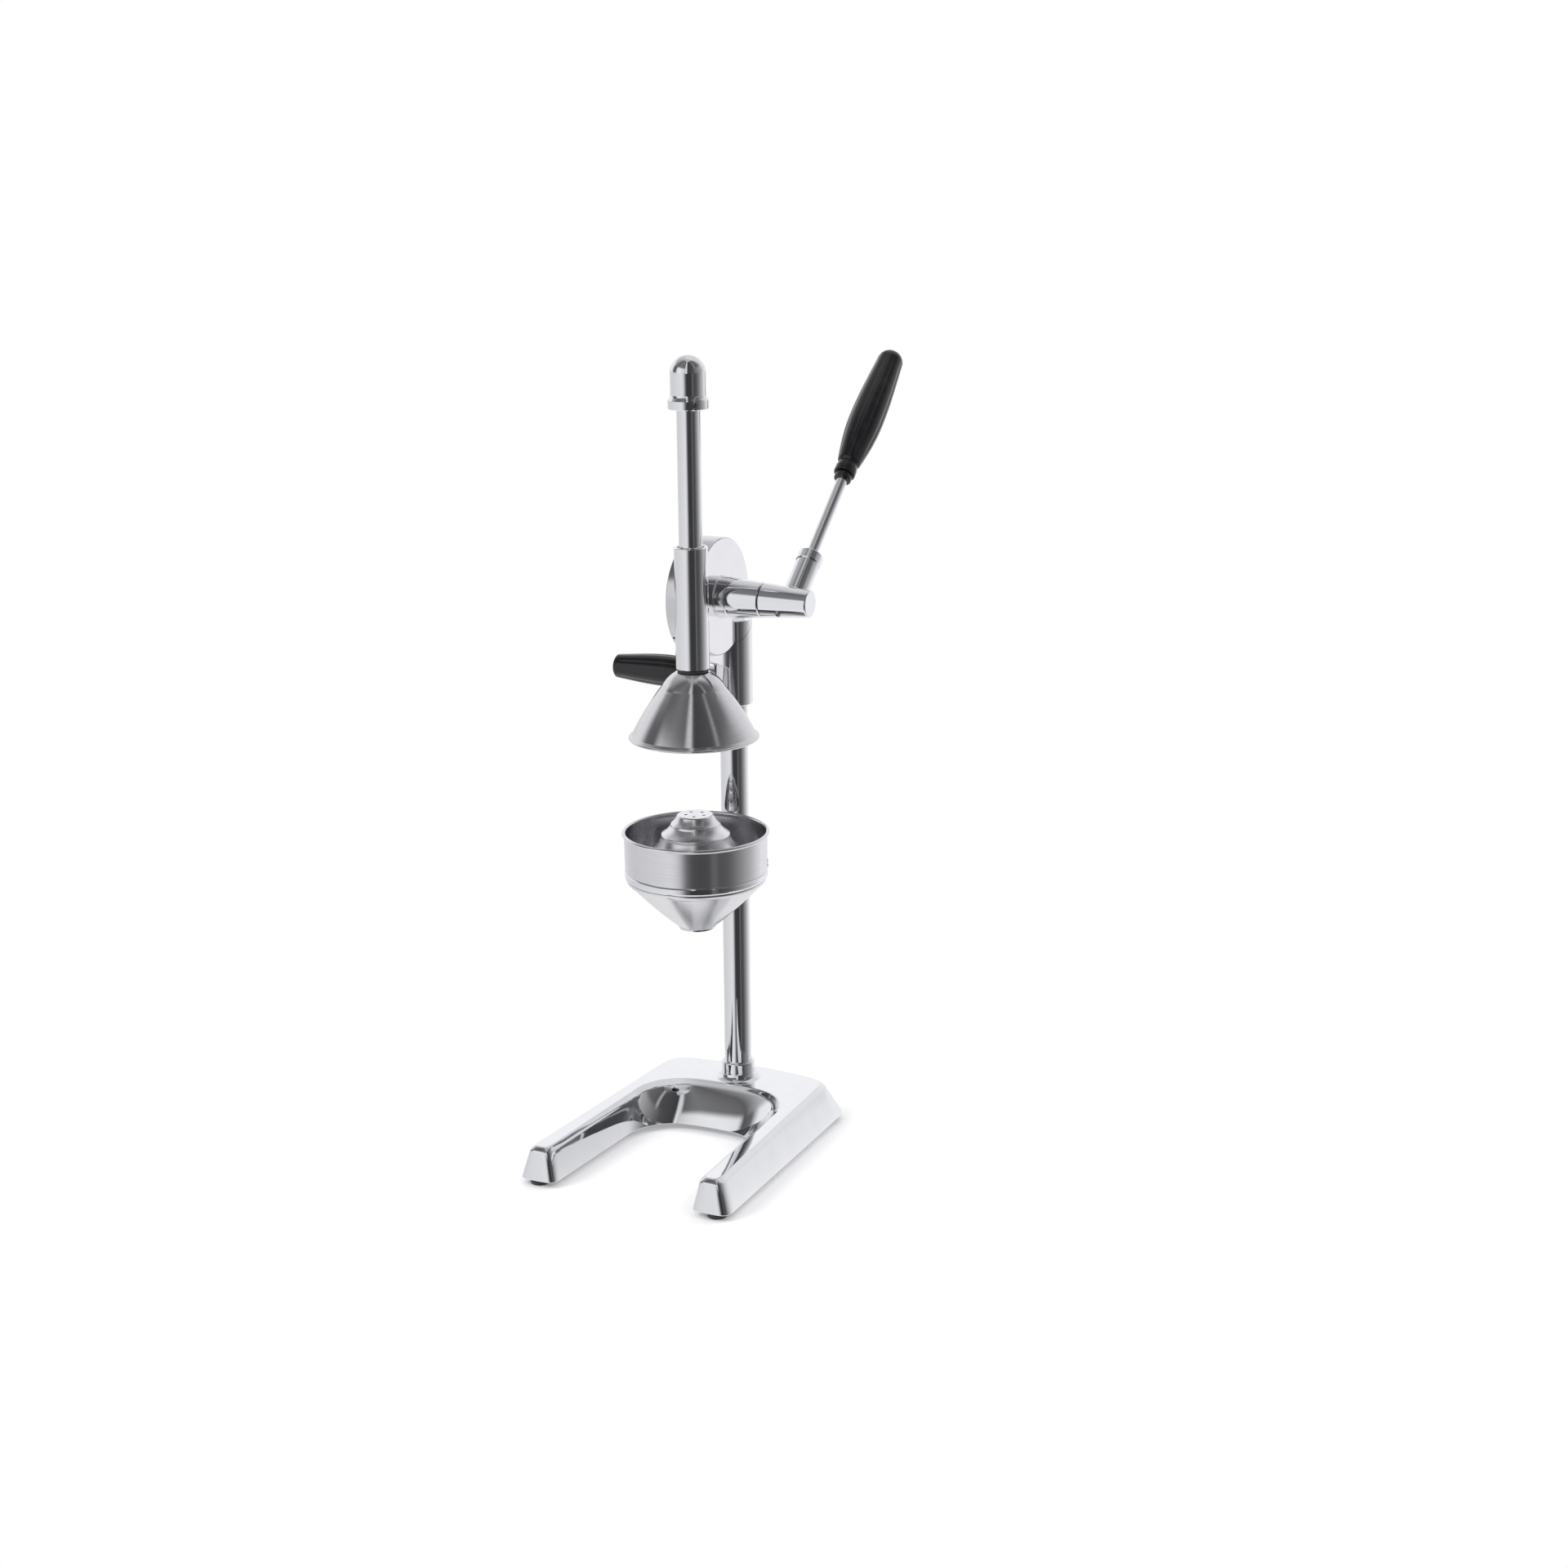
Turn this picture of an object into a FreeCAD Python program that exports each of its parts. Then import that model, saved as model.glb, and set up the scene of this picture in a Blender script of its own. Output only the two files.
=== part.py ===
import FreeCAD, Part
import math
import os
import Sketcher

# Lever press for citrus fruit.  Millimetres, +Z up, front towards -Y, lever shaft along +X.
# The origin is on the column's axis at the level of the table.

os.makedirs("parts", exist_ok=True)
doc = FreeCAD.newDocument("citrus_press")

SIZES = {
    # stand
    "foot_height": 5.5, "deck_height": 34, "base_front": 216, "base_back": 31,
    "base_half_front": 90, "base_half_back": 79, "base_flare": 8, "leg_half_front": 70,
    "leg_half_back": 65, "gap_end": 25, "gap_slope": 34, "base_wall": 5.5, "base_bevel": 3,
    "boss_radius": 14.6, "boss_top": 50, "column_radius": 12, "column_wall": 2,
    "column_low": 20, "column_top": 440, "foot_radius": 8, "foot_screw_radius": 2.5,
    # press axis, cup and funnel
    "reach": 75, "cup_radius": 60.6, "cup_low": 248, "cup_top": 282, "sheet_wall": 1.2,
    "ring_low": 241.5, "ring_bore": 57.4, "outlet_radius": 15.5, "outlet_low": 196.6,
    "outlet_top": 198, "hub_radius": 17, "hub_low": 208, "hub_top": 247,
    "slide_fit": 0.05, "body_gap": 0.3,
    # reamer
    "reamer_top": 296, "reamer_crown": 15.5, "tier_a": 21, "tier_b": 29.2, "tier_c": 35,
    # head
    "shaft_height": 476, "drum_radius": 49.5, "drum_wall": 3.5, "drum_left": 19,
    "drum_right": 9, "gear_module": 2, "gear_teeth": 32, "gear_width": 10,
    "guide_radius": 14.1, "guide_bore": 11.5, "guide_low": 422, "guide_top": 524,
    "bush_length": 22, "sleeve_radius": 16.5, "sleeve_low": 376, "sleeve_end": 442,
    "shaft_radius": 8, "housing_end": 47.5, "clamp_height": 398.5,
    # press rod and cone
    "rod_radius": 9.9, "rod_top": 652, "rack_flat": 8.5, "running_fit": 0.04,
    "cone_top": 419, "cone_low": 362.5, "cone_radius": 54.7, "cone_wall": 1.5,
    "cap_low": 637, "cap_radius": 14.7, "cap_top": 680.5,
    # lever and clamp grips
    "lever_plane": 73, "head_end": 90, "lever_angle": 40.4, "socket_radius": 10,
    "socket_end": 41, "collar_end": 51, "lever_rod_radius": 4.8, "grip_start": 140,
    "grip_end": 280, "grip_radius": 15, "clamp_grip_start": 26, "clamp_grip_end": 113,
    "clamp_grip_radius": 13.9, "stud_radius": 4,
}

sheet = doc.addObject("Spreadsheet::Sheet", "Sizes")
for row, (alias, value) in enumerate(SIZES.items(), 1):
    sheet.set(f"A{row}", alias)
    sheet.set(f"B{row}", str(value))
    sheet.setAlias(f"B{row}", alias)
doc.recompute()


class Q:
    """A number together with the spreadsheet expression that gives it."""

    def __init__(self, value, text=None):
        self.value = float(value)
        self.text = text or f"{float(value):.9g}"

    @staticmethod
    def of(other):
        return other if isinstance(other, Q) else Q(other)

    def join(self, other, sign, value):
        return Q(value, f"({self.text} {sign} {Q.of(other).text})")

    def __add__(self, other):
        return self.join(other, "+", self.value + Q.of(other).value)

    def __sub__(self, other):
        return self.join(other, "-", self.value - Q.of(other).value)

    def __mul__(self, other):
        return self.join(other, "*", self.value * Q.of(other).value)

    def __truediv__(self, other):
        return self.join(other, "/", self.value / Q.of(other).value)

    def __radd__(self, other):
        return Q.of(other) + self

    def __rsub__(self, other):
        return Q.of(other) - self

    def __rmul__(self, other):
        return Q.of(other) * self

    def __neg__(self):
        return Q(-self.value, f"(0 - {self.text})")


def size(alias):
    return Q(SIZES[alias], f"Sizes.{alias}")


def bind(obj, prop, quantity):
    obj.setExpression(prop, Q.of(quantity).text)


NODES = {}  # node name -> the object that holds its shape


# ---------------------------------------------------------------- PartDesign helpers

PLANES = {"XY": "XY_Plane", "XZ": "XZ_Plane", "YZ": "YZ_Plane"}


def body(name, at=(0, 0, 0), turn=(FreeCAD.Vector(0, 0, 1), 0), node=True):
    """A new body at a bound place, turned by a bound angle about an axis."""
    made = doc.addObject("PartDesign::Body", name)
    made.Label = name
    made.Placement = FreeCAD.Placement(
        FreeCAD.Vector(*(Q.of(v).value for v in at)),
        FreeCAD.Rotation(turn[0], Q.of(turn[1]).value),
    )
    for letter, value in zip("xyz", at):
        if isinstance(value, Q):
            bind(made, f"Placement.Base.{letter}", value)
    if isinstance(turn[1], Q):
        bind(made, "Placement.Rotation.Angle", turn[1])
    if node:
        NODES[name] = made
    return made


def sketch(owner, name, plane="XZ", lift=0):
    """A sketch on one of the body's own planes, lifted along the plane's normal."""
    made = owner.newObject("Sketcher::SketchObject", f"{owner.Name}_{name}")
    role = PLANES[plane]
    face = next(f for f in owner.Origin.OriginFeatures if f.Role == role)
    made.AttachmentSupport = [(face, "")]
    made.MapMode = "FlatFace"
    if Q.of(lift).value or isinstance(lift, Q):
        made.AttachmentOffset = FreeCAD.Placement(
            FreeCAD.Vector(0, 0, Q.of(lift).value), FreeCAD.Rotation())
        if isinstance(lift, Q):
            bind(made, "AttachmentOffset.Base.z", lift)
    return made


def locate(sk, geo, pos, x, y):
    """Hold a point of the sketch at bound coordinates."""
    for kind, value, axis in (("DistanceX", Q.of(x), -2), ("DistanceY", Q.of(y), -1)):
        if value.value == 0:
            sk.addConstraint(Sketcher.Constraint("PointOnObject", geo, pos, axis))
            continue
        at = sk.addConstraint(Sketcher.Constraint(kind, -1, 1, geo, pos, value.value))
        sk.setExpression(f"Constraints[{at}]", value.text)


def arc_of(a, b, radius):
    """The short arc from a to b; a positive radius puts its centre on the left."""
    mid, along = (a + b) * 0.5, b - a
    half = along.Length / 2
    rise = math.sqrt(max(radius * radius - half * half, 0))
    left = FreeCAD.Vector(-along.y, along.x, 0).normalize()
    centre = mid + left * (rise if radius > 0 else -rise)
    first, last = (a, b) if radius > 0 else (b, a)
    angle = [math.atan2(p.y - centre.y, p.x - centre.x) for p in (first, last)]
    if angle[1] < angle[0]:
        angle[1] += 2 * math.pi
    round_ = Part.Circle(centre, FreeCAD.Vector(0, 0, 1), abs(radius))
    return Part.ArcOfCircle(round_, *angle)


def outline(sk, *corners):
    """Draw a closed outline.  A corner is (x, y), or (x, y, radius) when an arc ends there."""
    points = [FreeCAD.Vector(Q.of(c[0]).value, Q.of(c[1]).value, 0) for c in corners]
    ends = []
    for i in range(len(corners)):
        nxt = (i + 1) % len(corners)
        a, b = points[i], points[nxt]
        if len(corners[nxt]) == 3:
            radius = Q.of(corners[nxt][2])
            geo = sk.addGeometry(arc_of(a, b, radius.value))
            ends.append((geo, 1, 2) if radius.value > 0 else (geo, 2, 1))
            plain = radius if radius.value > 0 else -radius
            at = sk.addConstraint(Sketcher.Constraint("Radius", geo, plain.value))
            sk.setExpression(f"Constraints[{at}]", plain.text)
        else:
            geo = sk.addGeometry(Part.LineSegment(a, b))
            ends.append((geo, 1, 2))
    for i, (geo, first, last) in enumerate(ends):
        follow = ends[(i + 1) % len(ends)]
        sk.addConstraint(Sketcher.Constraint("Coincident", geo, last, follow[0], follow[1]))
    for corner, (geo, first, last) in zip(corners, ends):
        locate(sk, geo, first, corner[0], corner[1])


def circle(sk, x, y, radius):
    centre = FreeCAD.Vector(Q.of(x).value, Q.of(y).value, 0)
    geo = sk.addGeometry(Part.Circle(centre, FreeCAD.Vector(0, 0, 1), Q.of(radius).value))
    locate(sk, geo, 3, x, y)
    at = sk.addConstraint(Sketcher.Constraint("Radius", geo, Q.of(radius).value))
    bind(sk, f"Constraints[{at}]", radius)


def feature(kind, owner, name, sk):
    made = owner.newObject(f"PartDesign::{kind}", f"{owner.Name}_{name}")
    made.Profile = sk
    sk.Visibility = False
    return made


def spin(owner, sk, name="turned", kind="Revolution", axis="V_Axis"):
    made = feature(kind, owner, name, sk)
    made.ReferenceAxis = (sk, [axis])
    made.Angle = 360
    return made


def push(owner, sk, length, name="pad", kind="Pad", middle=False, back=False):
    made = feature(kind, owner, name, sk)
    made.Length = Q.of(length).value
    bind(made, "Length", length)
    if middle:
        made.SideType = "Symmetric"
    made.Reversed = back
    return made


def ring_of(owner, source, count, name="ring", axis="Z_Axis"):
    """The source feature repeated around one of the body's own axes."""
    made = owner.newObject("PartDesign::PolarPattern", f"{owner.Name}_{name}")
    made.Originals = [source]
    line = next(f for f in owner.Origin.OriginFeatures if f.Role == axis)
    made.Axis = (line, [""])
    made.Angle = 360
    made.Occurrences = int(Q.of(count).value)
    bind(made, "Occurrences", count)
    owner.Tip = made
    return made


def row_of(owner, source, count, pitch, name="row", axis="Z_Axis"):
    """The source feature repeated along one of the body's own axes."""
    made = owner.newObject("PartDesign::LinearPattern", f"{owner.Name}_{name}")
    made.Originals = [source]
    line = next(f for f in owner.Origin.OriginFeatures if f.Role == axis)
    made.Direction = (line, [""])
    made.Mode = "Spacing"
    made.Offset = Q.of(pitch).value
    bind(made, "Offset", pitch)
    made.Occurrences = int(count)
    owner.Tip = made
    return made


def ease(owner, source, radius, wanted, name="fillet", kind="Fillet"):
    """Round or bevel the edges of the source feature that wanted(edge) accepts."""
    doc.recompute()
    names = [f"Edge{i}" for i, e in enumerate(source.Shape.Edges, 1) if wanted(e)]
    made = owner.newObject(f"PartDesign::{kind}", f"{owner.Name}_{name}")
    made.Base = (source, names)
    prop = "Radius" if kind == "Fillet" else "Size"
    setattr(made, prop, Q.of(radius).value)
    bind(made, prop, radius)
    return made


def turned(name, corners, at=(0, 0, 0), turn=(FreeCAD.Vector(0, 0, 1), 0), node=True):
    """A body turned about its own Z axis from an outline of (radius, height) corners."""
    made = body(name, at, turn, node)
    sk = sketch(made, "outline")
    outline(sk, *corners)
    spin(made, sk)
    return made


def tube(outer, inner, low, top, bevel=0.5):
    """The outline of a plain ring with beveled outer edges."""
    return [(inner, low), (outer - bevel, low), (outer, low + bevel), (outer, top - bevel),
            (outer - bevel, top), (inner, top)]


def rod(radius, low, top, bevel=0.5):
    """The outline of a plain round bar with beveled ends."""
    return [(0, low), (radius - bevel, low), (radius, low + bevel), (radius, top - bevel),
            (radius - bevel, top), (0, top)]


def dome(radius, rise):
    """The radius of the arc that closes a turned end exactly on its axis."""
    return (radius * radius + rise * rise) / (2 * rise)


def group(name, shapes):
    """Like solids that share one node."""
    made = doc.addObject("Part::Compound", name)
    made.Label = name
    made.Links = shapes
    NODES[name] = made
    return made


X, Y, Z = (FreeCAD.Vector(*v) for v in ((1, 0, 0), (0, 1, 0), (0, 0, 1)))
gap, fit, run = size("body_gap"), size("slide_fit"), size("running_fit")
reach = size("reach")
foot_h, deck = size("foot_height"), size("deck_height")
col_r, col_low, col_top = size("column_radius"), size("column_low"), size("column_top")


# ---------------------------------------------------------------- base casting

def horseshoe(sk, front, back, half_front, half_back, leg_front, leg_back, end, inset=0):
    """The base's outline at one level: a flat front on each leg and a bowed back."""
    corner = 14.0
    turn_at = end + (leg_back - 26) * 1.2
    left = [
        (-(half_front - inset), -(front - inset)),
        (-(leg_front + inset), -(front - inset)),
        (-(leg_back + inset), -turn_at),
        (-26, -(end - inset), -44),
        (26, -(end - inset), -260),
        (leg_back + inset, -turn_at, -44),
        (leg_front + inset, -(front - inset)),
        (half_front - inset, -(front - inset)),
        (half_back - inset, back - 21),
        (half_back - inset - corner, back - 7 - inset * 0.5, 14.5),
        (-(half_back - inset - corner), back - 7 - inset * 0.5, 320),
        (-(half_back - inset), back - 21, 14.5),
    ]
    outline(sk, *left)


base = body("base_casting")
flare = size("base_flare")


def level(name, lift, grow, inset=0):
    """One level of the base, grow times the flare wider than the deck, set in by inset."""
    sk = sketch(base, name, "XY", lift)
    horseshoe(sk, size("base_front") + 4 * grow, size("base_back") + flare * grow,
              size("base_half_front") + flare * grow,
              size("base_half_back") + (flare + 6) * grow,
              size("leg_half_front") - 6 * grow, size("leg_half_back") - 7 * grow,
              size("gap_end") + size("gap_slope") * grow, inset)
    return sk


def loft(kind, name, low, high):
    made = feature(kind, base, name, low)
    made.Sections, made.Ruled = [high], True
    return made


bevel = size("base_bevel")
loft("AdditiveLoft", "sides", level("low", foot_h, 1.0), level("high", deck - bevel, 0.08))
loft("AdditiveLoft", "bevel", level("edge_low", deck - bevel, 0.08),
     level("edge_high", deck, 0.0, bevel))
wall = size("base_wall")
loft("SubtractiveLoft", "hollow", level("hollow_low", foot_h, 1.0, wall),
     level("hollow_high", deck - 7, 0.2, wall))

boss_r, boss_top = size("boss_radius"), size("boss_top")
sk = sketch(base, "boss")
outline(sk, (0, foot_h), (boss_r + 5, foot_h), (boss_r + 5, deck + 0.5),
        (boss_r, deck + 7, -7.5), (boss_r, boss_top - 1), (boss_r - 1, boss_top, 1.01),
        (0, boss_top))
spin(base, sk, "boss")
feet_at = [(side * x, y) for x, y in ((83, -209), (79, 16)) for side in (-1, 1)]
sk = sketch(base, "foot_pads", "XY", foot_h)
for x, y in feet_at:
    circle(sk, x, y, size("foot_radius") - 1.5)
push(base, sk, 13, "foot_pads")
sk = sketch(base, "column_socket")
outline(sk, (0, foot_h - 1), (13, foot_h - 1), (13, 14), (5.5, 14), (5.5, col_low),
        (col_r, col_low), (col_r, boss_top + 1), (0, boss_top + 1))
spin(base, sk, "column_socket", "Groove")
sk = sketch(base, "foot_holes", "XY", foot_h - 1)
for x, y in feet_at:
    circle(sk, x, y, size("foot_screw_radius"))
push(base, sk, 13.2, "foot_holes", "Pocket", back=True)
sk = sketch(base, "lock_hole", "XZ", -(boss_r + 6))
circle(sk, 0, boss_top - 6, 2.5)
push(base, sk, boss_r + 6, "lock_hole", "Pocket", back=True)

# ---------------------------------------------------------------- column and feet

inner = col_r - size("column_wall")
turned("column", tube(col_r, inner, col_low, col_top, 1.0))
turned("column_cap", [(0, col_top - 12), (inner, col_top - 12), (inner, col_top),
                      (col_r - 1, col_top), (col_r - 2, col_top + 1), (0, col_top + 1)])
turned("column_insert", tube(inner, 5, col_low, col_low + 30))
turned("column_washer", tube(11, 5.3, 12.4, 14, 0.3))
bolt_low = foot_h + 0.6
turned("column_bolt", [(0, bolt_low + 4), (3.5, bolt_low + 4), (3.5, bolt_low),
                       (7.4, bolt_low), (8, bolt_low + 0.6), (8, 12.4), (5, 12.4),
                       (5, col_low + 24), (0, col_low + 24)])
turned("centre_foot", [(0, 0), (15, 0), (16, 1), (16, foot_h), (0, foot_h)])

foot_r, screw_r = size("foot_radius"), size("foot_screw_radius")
feet, screws = [], []
for i, (x, y) in enumerate(feet_at, 1):
    feet.append(turned(f"foot_{i}", [
        (2.8, 2.2), (5.2, 2.2), (5.2, 0), (foot_r - 0.6, 0), (foot_r, 0.6),
        (foot_r, foot_h), (2.8, foot_h)], (x, y, 0), node=False))
    screws.append(turned(f"foot_screw_{i}", [
        (0, 0.6), (4.2, 0.6), (4.6, 1), (4.6, 2.2), (screw_r, 2.2), (screw_r, 16),
        (0, 16)], (x, y, 0), node=False))
group("rubber_feet", feet)
group("foot_screws", screws)
turned("lock_screw", [(0, 1.2), (1.2, 1.2), (1.2, 0), (2.1, 0), (2.5, 0.4), (2.5, 5.5),
                      (1.6, 6.2), (0, 6.2)], (0, col_r + 6.2, boss_top - 6), (X, 90))

# ---------------------------------------------------------------- ring bracket and funnel

cup_r, cup_low, cup_top = size("cup_radius"), size("cup_low"), size("cup_top")
ring_low, ring_bore = size("ring_low"), size("ring_bore")
hub_r, hub_low, hub_top = size("hub_radius"), size("hub_low"), size("hub_top")

bracket = body("ring_bracket")
sk = sketch(bracket, "hub")
outline(sk, (0, hub_low), (hub_r - 1, hub_low), (hub_r, hub_low + 1, 1.01),
        (hub_r, hub_top - 1), (hub_r - 1, hub_top, 1.01), (0, hub_top))
spin(bracket, sk, "hub")
sk = sketch(bracket, "gusset", "YZ")
outline(sk, (-reach + ring_bore + 1, ring_low), (-8, hub_low + 8), (-8, cup_low - 1.2),
        (-reach + ring_bore + 1, cup_low - 1.2))
push(bracket, sk, 22, "gusset", middle=True)
sk = sketch(bracket, "band", "XZ", reach)
outline(sk, (ring_bore - 1, ring_low), (cup_r - 2.4, ring_low), (cup_r, ring_low + 2.4, 2.42),
        (cup_r, cup_low - 0.6), (cup_r - 0.6, cup_low), (ring_bore - 1, cup_low))
spin(bracket, sk, "band")
sk = sketch(bracket, "screw_boss", "XZ", -26)
circle(sk, 0, hub_low + 14, 7)
push(bracket, sk, 16, "screw_boss")
sk = sketch(bracket, "band_bore", "XY", ring_low - 1)
circle(sk, 0, -reach, ring_bore)
push(bracket, sk, cup_low - ring_low + 2, "band_bore", "Pocket", back=True)
sk = sketch(bracket, "funnel_relief", "XY", hub_low - 1)
circle(sk, 0, -reach, cup_r - 0.6)
push(bracket, sk, ring_low - hub_low + 1, "funnel_relief", "Pocket", back=True)
sk = sketch(bracket, "column_bore", "XY", hub_low - 1)
circle(sk, 0, 0, col_r + fit)
push(bracket, sk, hub_top - hub_low + 2, "column_bore", "Pocket", back=True)
sk = sketch(bracket, "screw_hole", "XZ", -27)
circle(sk, 0, hub_low + 14, size("stud_radius") + fit)
push(bracket, sk, 17, "screw_hole", "Pocket", back=True)

sheet_t = size("sheet_wall")
out_r, out_low, out_top = size("outlet_radius"), size("outlet_low"), size("outlet_top")
lip = cup_r - 1.2
turned("funnel", [
    (out_r - sheet_t, out_low), (out_r, out_low), (out_r, out_top),
    (lip - 3, ring_low - 4.6, 420), (lip, ring_low - 1, 4.6), (lip, ring_low),
    (lip - sheet_t, ring_low), (lip - sheet_t, ring_low - 0.8),
    (lip - sheet_t - 2.8, ring_low - 4, -4), (out_r - sheet_t, out_top + 0.6, -420)],
    (0, -reach, 0))

turned("ring_screw", rod(size("stud_radius"), 0, 20), (0, col_r + gap, hub_low + 14),
       (X, -90))


def knob(name, radius, low, high, hole, at, turn, flutes):
    """A fluted round knob bored for its stud."""
    made = turned(name, [
        (0, low), (radius * 0.55, low), (radius * 0.55, low + 3), (radius - 1.5, low + 5),
        (radius, low + 6.5, 1.6), (radius, high - 2), (radius - 2, high, 2.05), (0, high)],
        at, turn)
    sk = sketch(made, "bore", "XY", low - 1)
    circle(sk, 0, 0, hole)
    push(made, sk, 7, "bore", "Pocket", back=True)
    sk = sketch(made, "flute", "XY", low)
    circle(sk, radius + 1.2, 0, 2.6)
    cut = push(made, sk, high - low, "flute", "Pocket", back=True)
    ring_of(made, cut, flutes)
    return made


knob("ring_knob", Q(12), 14, 30, size("stud_radius"), (0, col_r + gap, hub_low + 14),
     (X, -90), 10)

# ---------------------------------------------------------------- strainer and reamer

floor = ring_low + 1.5
bead = 1.7
strainer = turned("strainer_bowl", [
    (0, floor), (ring_bore - gap - 2, floor), (ring_bore - gap, floor + 2, 2.05),
    (ring_bore - gap, cup_low), (cup_r - 1, cup_low), (cup_r - 0.4, cup_low + 1),
    (cup_r, cup_top - 3.4), (cup_r + bead, cup_top - bead, 2.42),
    (cup_r, cup_top, 1.71), (cup_r - 1.4, cup_top - bead, 1.6),
    (cup_r - sheet_t, cup_top - 4), (cup_r - sheet_t - 0.6, cup_low + 3),
    (ring_bore - gap - sheet_t, cup_low + 1.4), (ring_bore - gap - sheet_t, floor + 2.4),
    (ring_bore - gap - sheet_t - 1, floor + sheet_t), (0, floor + sheet_t)],
    (0, -reach, 0))
for row, (radius, count) in enumerate(((40, 30), (45, 34), (50, 38)), 1):
    sk = sketch(strainer, f"holes_{row}", "XY", floor - 1)
    circle(sk, radius, 0, 1.5)
    cut = push(strainer, sk, 4, f"holes_{row}", "Pocket", back=True)
    ring_of(strainer, cut, count, f"ring_{row}")

top = size("reamer_top")
crown, ta, tb, tc = (size(n) for n in ("reamer_crown", "tier_a", "tier_b", "tier_c"))
seat = floor + sheet_t
reamer = turned("reamer", [
    (0, seat), (tc + 1.5, seat), (tc + 1.5, seat + 1.4), (tc, seat + 3, -2),
    (tc, top - 28.6), (tc - 0.9, top - 27.4, 1.6), (tb + 0.4, top - 19.2, -26),
    (tb, top - 17.2), (tb - 0.9, top - 16.2, 1.5), (ta + 0.4, top - 9.6, -22),
    (ta, top - 8.2), (ta - 0.8, top - 7.3, 1.4), (crown, top - 0.7, -16),
    (crown - 1.2, top, 1.6), (0, top)], (0, -reach, 0))
sk = sketch(reamer, "hollow")
outline(sk, (0, seat - 1), (tc - 1.6, seat - 1), (tc - 1.6, top - 31), (tb - 2.4, top - 22),
        (ta - 2, top - 12.6), (crown - 2, top - 3), (0, top - 3))
spin(reamer, sk, "hollow", "Groove")
sk = sketch(reamer, "crown_holes", "XY", top + 1)
circle(sk, 8, 0, 1.4)
cut = push(reamer, sk, 6, "crown_holes", "Pocket")
ring_of(reamer, cut, 5, "crown_ring")
sk = sketch(reamer, "low_holes", "YZ", tc - 6)
circle(sk, 0, top - 32.2, 1.9)
cut = push(reamer, sk, 12, "low_holes", "Pocket", back=True)
ring_of(reamer, cut, 16, "low_ring")

# ---------------------------------------------------------------- gear case (head)

high = size("shaft_height")
mod, teeth = size("gear_module"), size("gear_teeth")
rack_pitch_line = size("rack_flat") - mod
gear_pitch = mod * teeth / 2
behind = gear_pitch + rack_pitch_line        # shaft axis to rod axis
shaft_y = behind - reach
drum_r, drum_t = size("drum_radius"), size("drum_wall")
left, right = size("drum_left"), size("drum_right")
guide_r, guide_b = size("guide_radius"), size("guide_bore")
g_low, g_top = size("guide_low"), size("guide_top")
sleeve_r, s_low, s_end = size("sleeve_radius"), size("sleeve_low"), size("sleeve_end")
shaft_r, rod_r = size("shaft_radius"), size("rod_radius")
clamp_z, stud_r = size("clamp_height"), size("stud_radius")

case = body("gear_case")
sk = sketch(case, "drum", "YZ", -left)
circle(sk, shaft_y, high, drum_r)
drum = push(case, sk, left + right, "drum")
round_rim = ease(case, drum, 1.2, lambda e: e.BoundBox.XLength < 0.01, "rim")
sk = sketch(case, "sleeve")
outline(sk, (0, s_low), (sleeve_r - 0.8, s_low), (sleeve_r, s_low + 0.8),
        (sleeve_r, s_end + 8), (0, s_end + 8))
spin(case, sk, "sleeve")
sk = sketch(case, "web", "YZ")
outline(sk, (-reach + guide_b, g_low + 6), (-reach + guide_b, high - drum_r + 8),
        (-10, high - drum_r + 14), (-10, g_low - 14))
push(case, sk, 9, "web", middle=True)
sk = sketch(case, "boss", "XZ")
outline(sk, (right - 1, 0), (right - 1, 18.4), (right, 18.4), (right + 1, 17.4, -1.01),
        (right + 9, 17.2), (right + 9.6, 16.6), (right + 9.6, 0))
sk.AttachmentOffset = FreeCAD.Placement(
    FreeCAD.Vector(0, high.value, -shaft_y.value), FreeCAD.Rotation())
bind(sk, "AttachmentOffset.Base.y", high)
bind(sk, "AttachmentOffset.Base.z", -shaft_y)
spin(case, sk, "boss", axis="H_Axis")
sk = sketch(case, "clamp_boss", "YZ", -22)
circle(sk, 0, clamp_z, 8.5)
push(case, sk, 16, "clamp_boss")
sk = sketch(case, "cavity", "YZ", -(left + 1))
circle(sk, shaft_y, high, drum_r - drum_t)
push(case, sk, left + right + 1 - drum_t, "cavity", "Pocket", back=True)
sk = sketch(case, "shaft_way", "YZ", right + 11)
circle(sk, shaft_y, high, 12)
push(case, sk, 20, "shaft_way", "Pocket")
sk = sketch(case, "guide_way", "XY", g_low - 40)
circle(sk, 0, -reach, guide_r)
push(case, sk, 200, "guide_way", "Pocket", back=True)
sk = sketch(case, "column_way", "XY", s_low - 1)
circle(sk, 0, 0, col_r + fit)
push(case, sk, s_end - s_low + 1, "column_way", "Pocket", back=True)
sk = sketch(case, "clamp_hole", "YZ", -23)
circle(sk, 0, clamp_z, stud_r + fit)
push(case, sk, 18, "clamp_hole", "Pocket", back=True)
screw_at = [217, 337, 97]
for i, angle in enumerate(screw_at, 1):
    sk = sketch(case, f"cover_hole_{i}", "XZ")
    circle(sk, -(left - 2.8), 0, 1.5 + fit)
    sk.AttachmentOffset = FreeCAD.Placement(
        FreeCAD.Vector(0, high.value, -shaft_y.value),
        FreeCAD.Rotation(X, angle))
    bind(sk, "AttachmentOffset.Base.y", high)
    bind(sk, "AttachmentOffset.Base.z", -shaft_y)
    push(case, sk, drum_r + 5, f"cover_hole_{i}", "Pocket")

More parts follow.
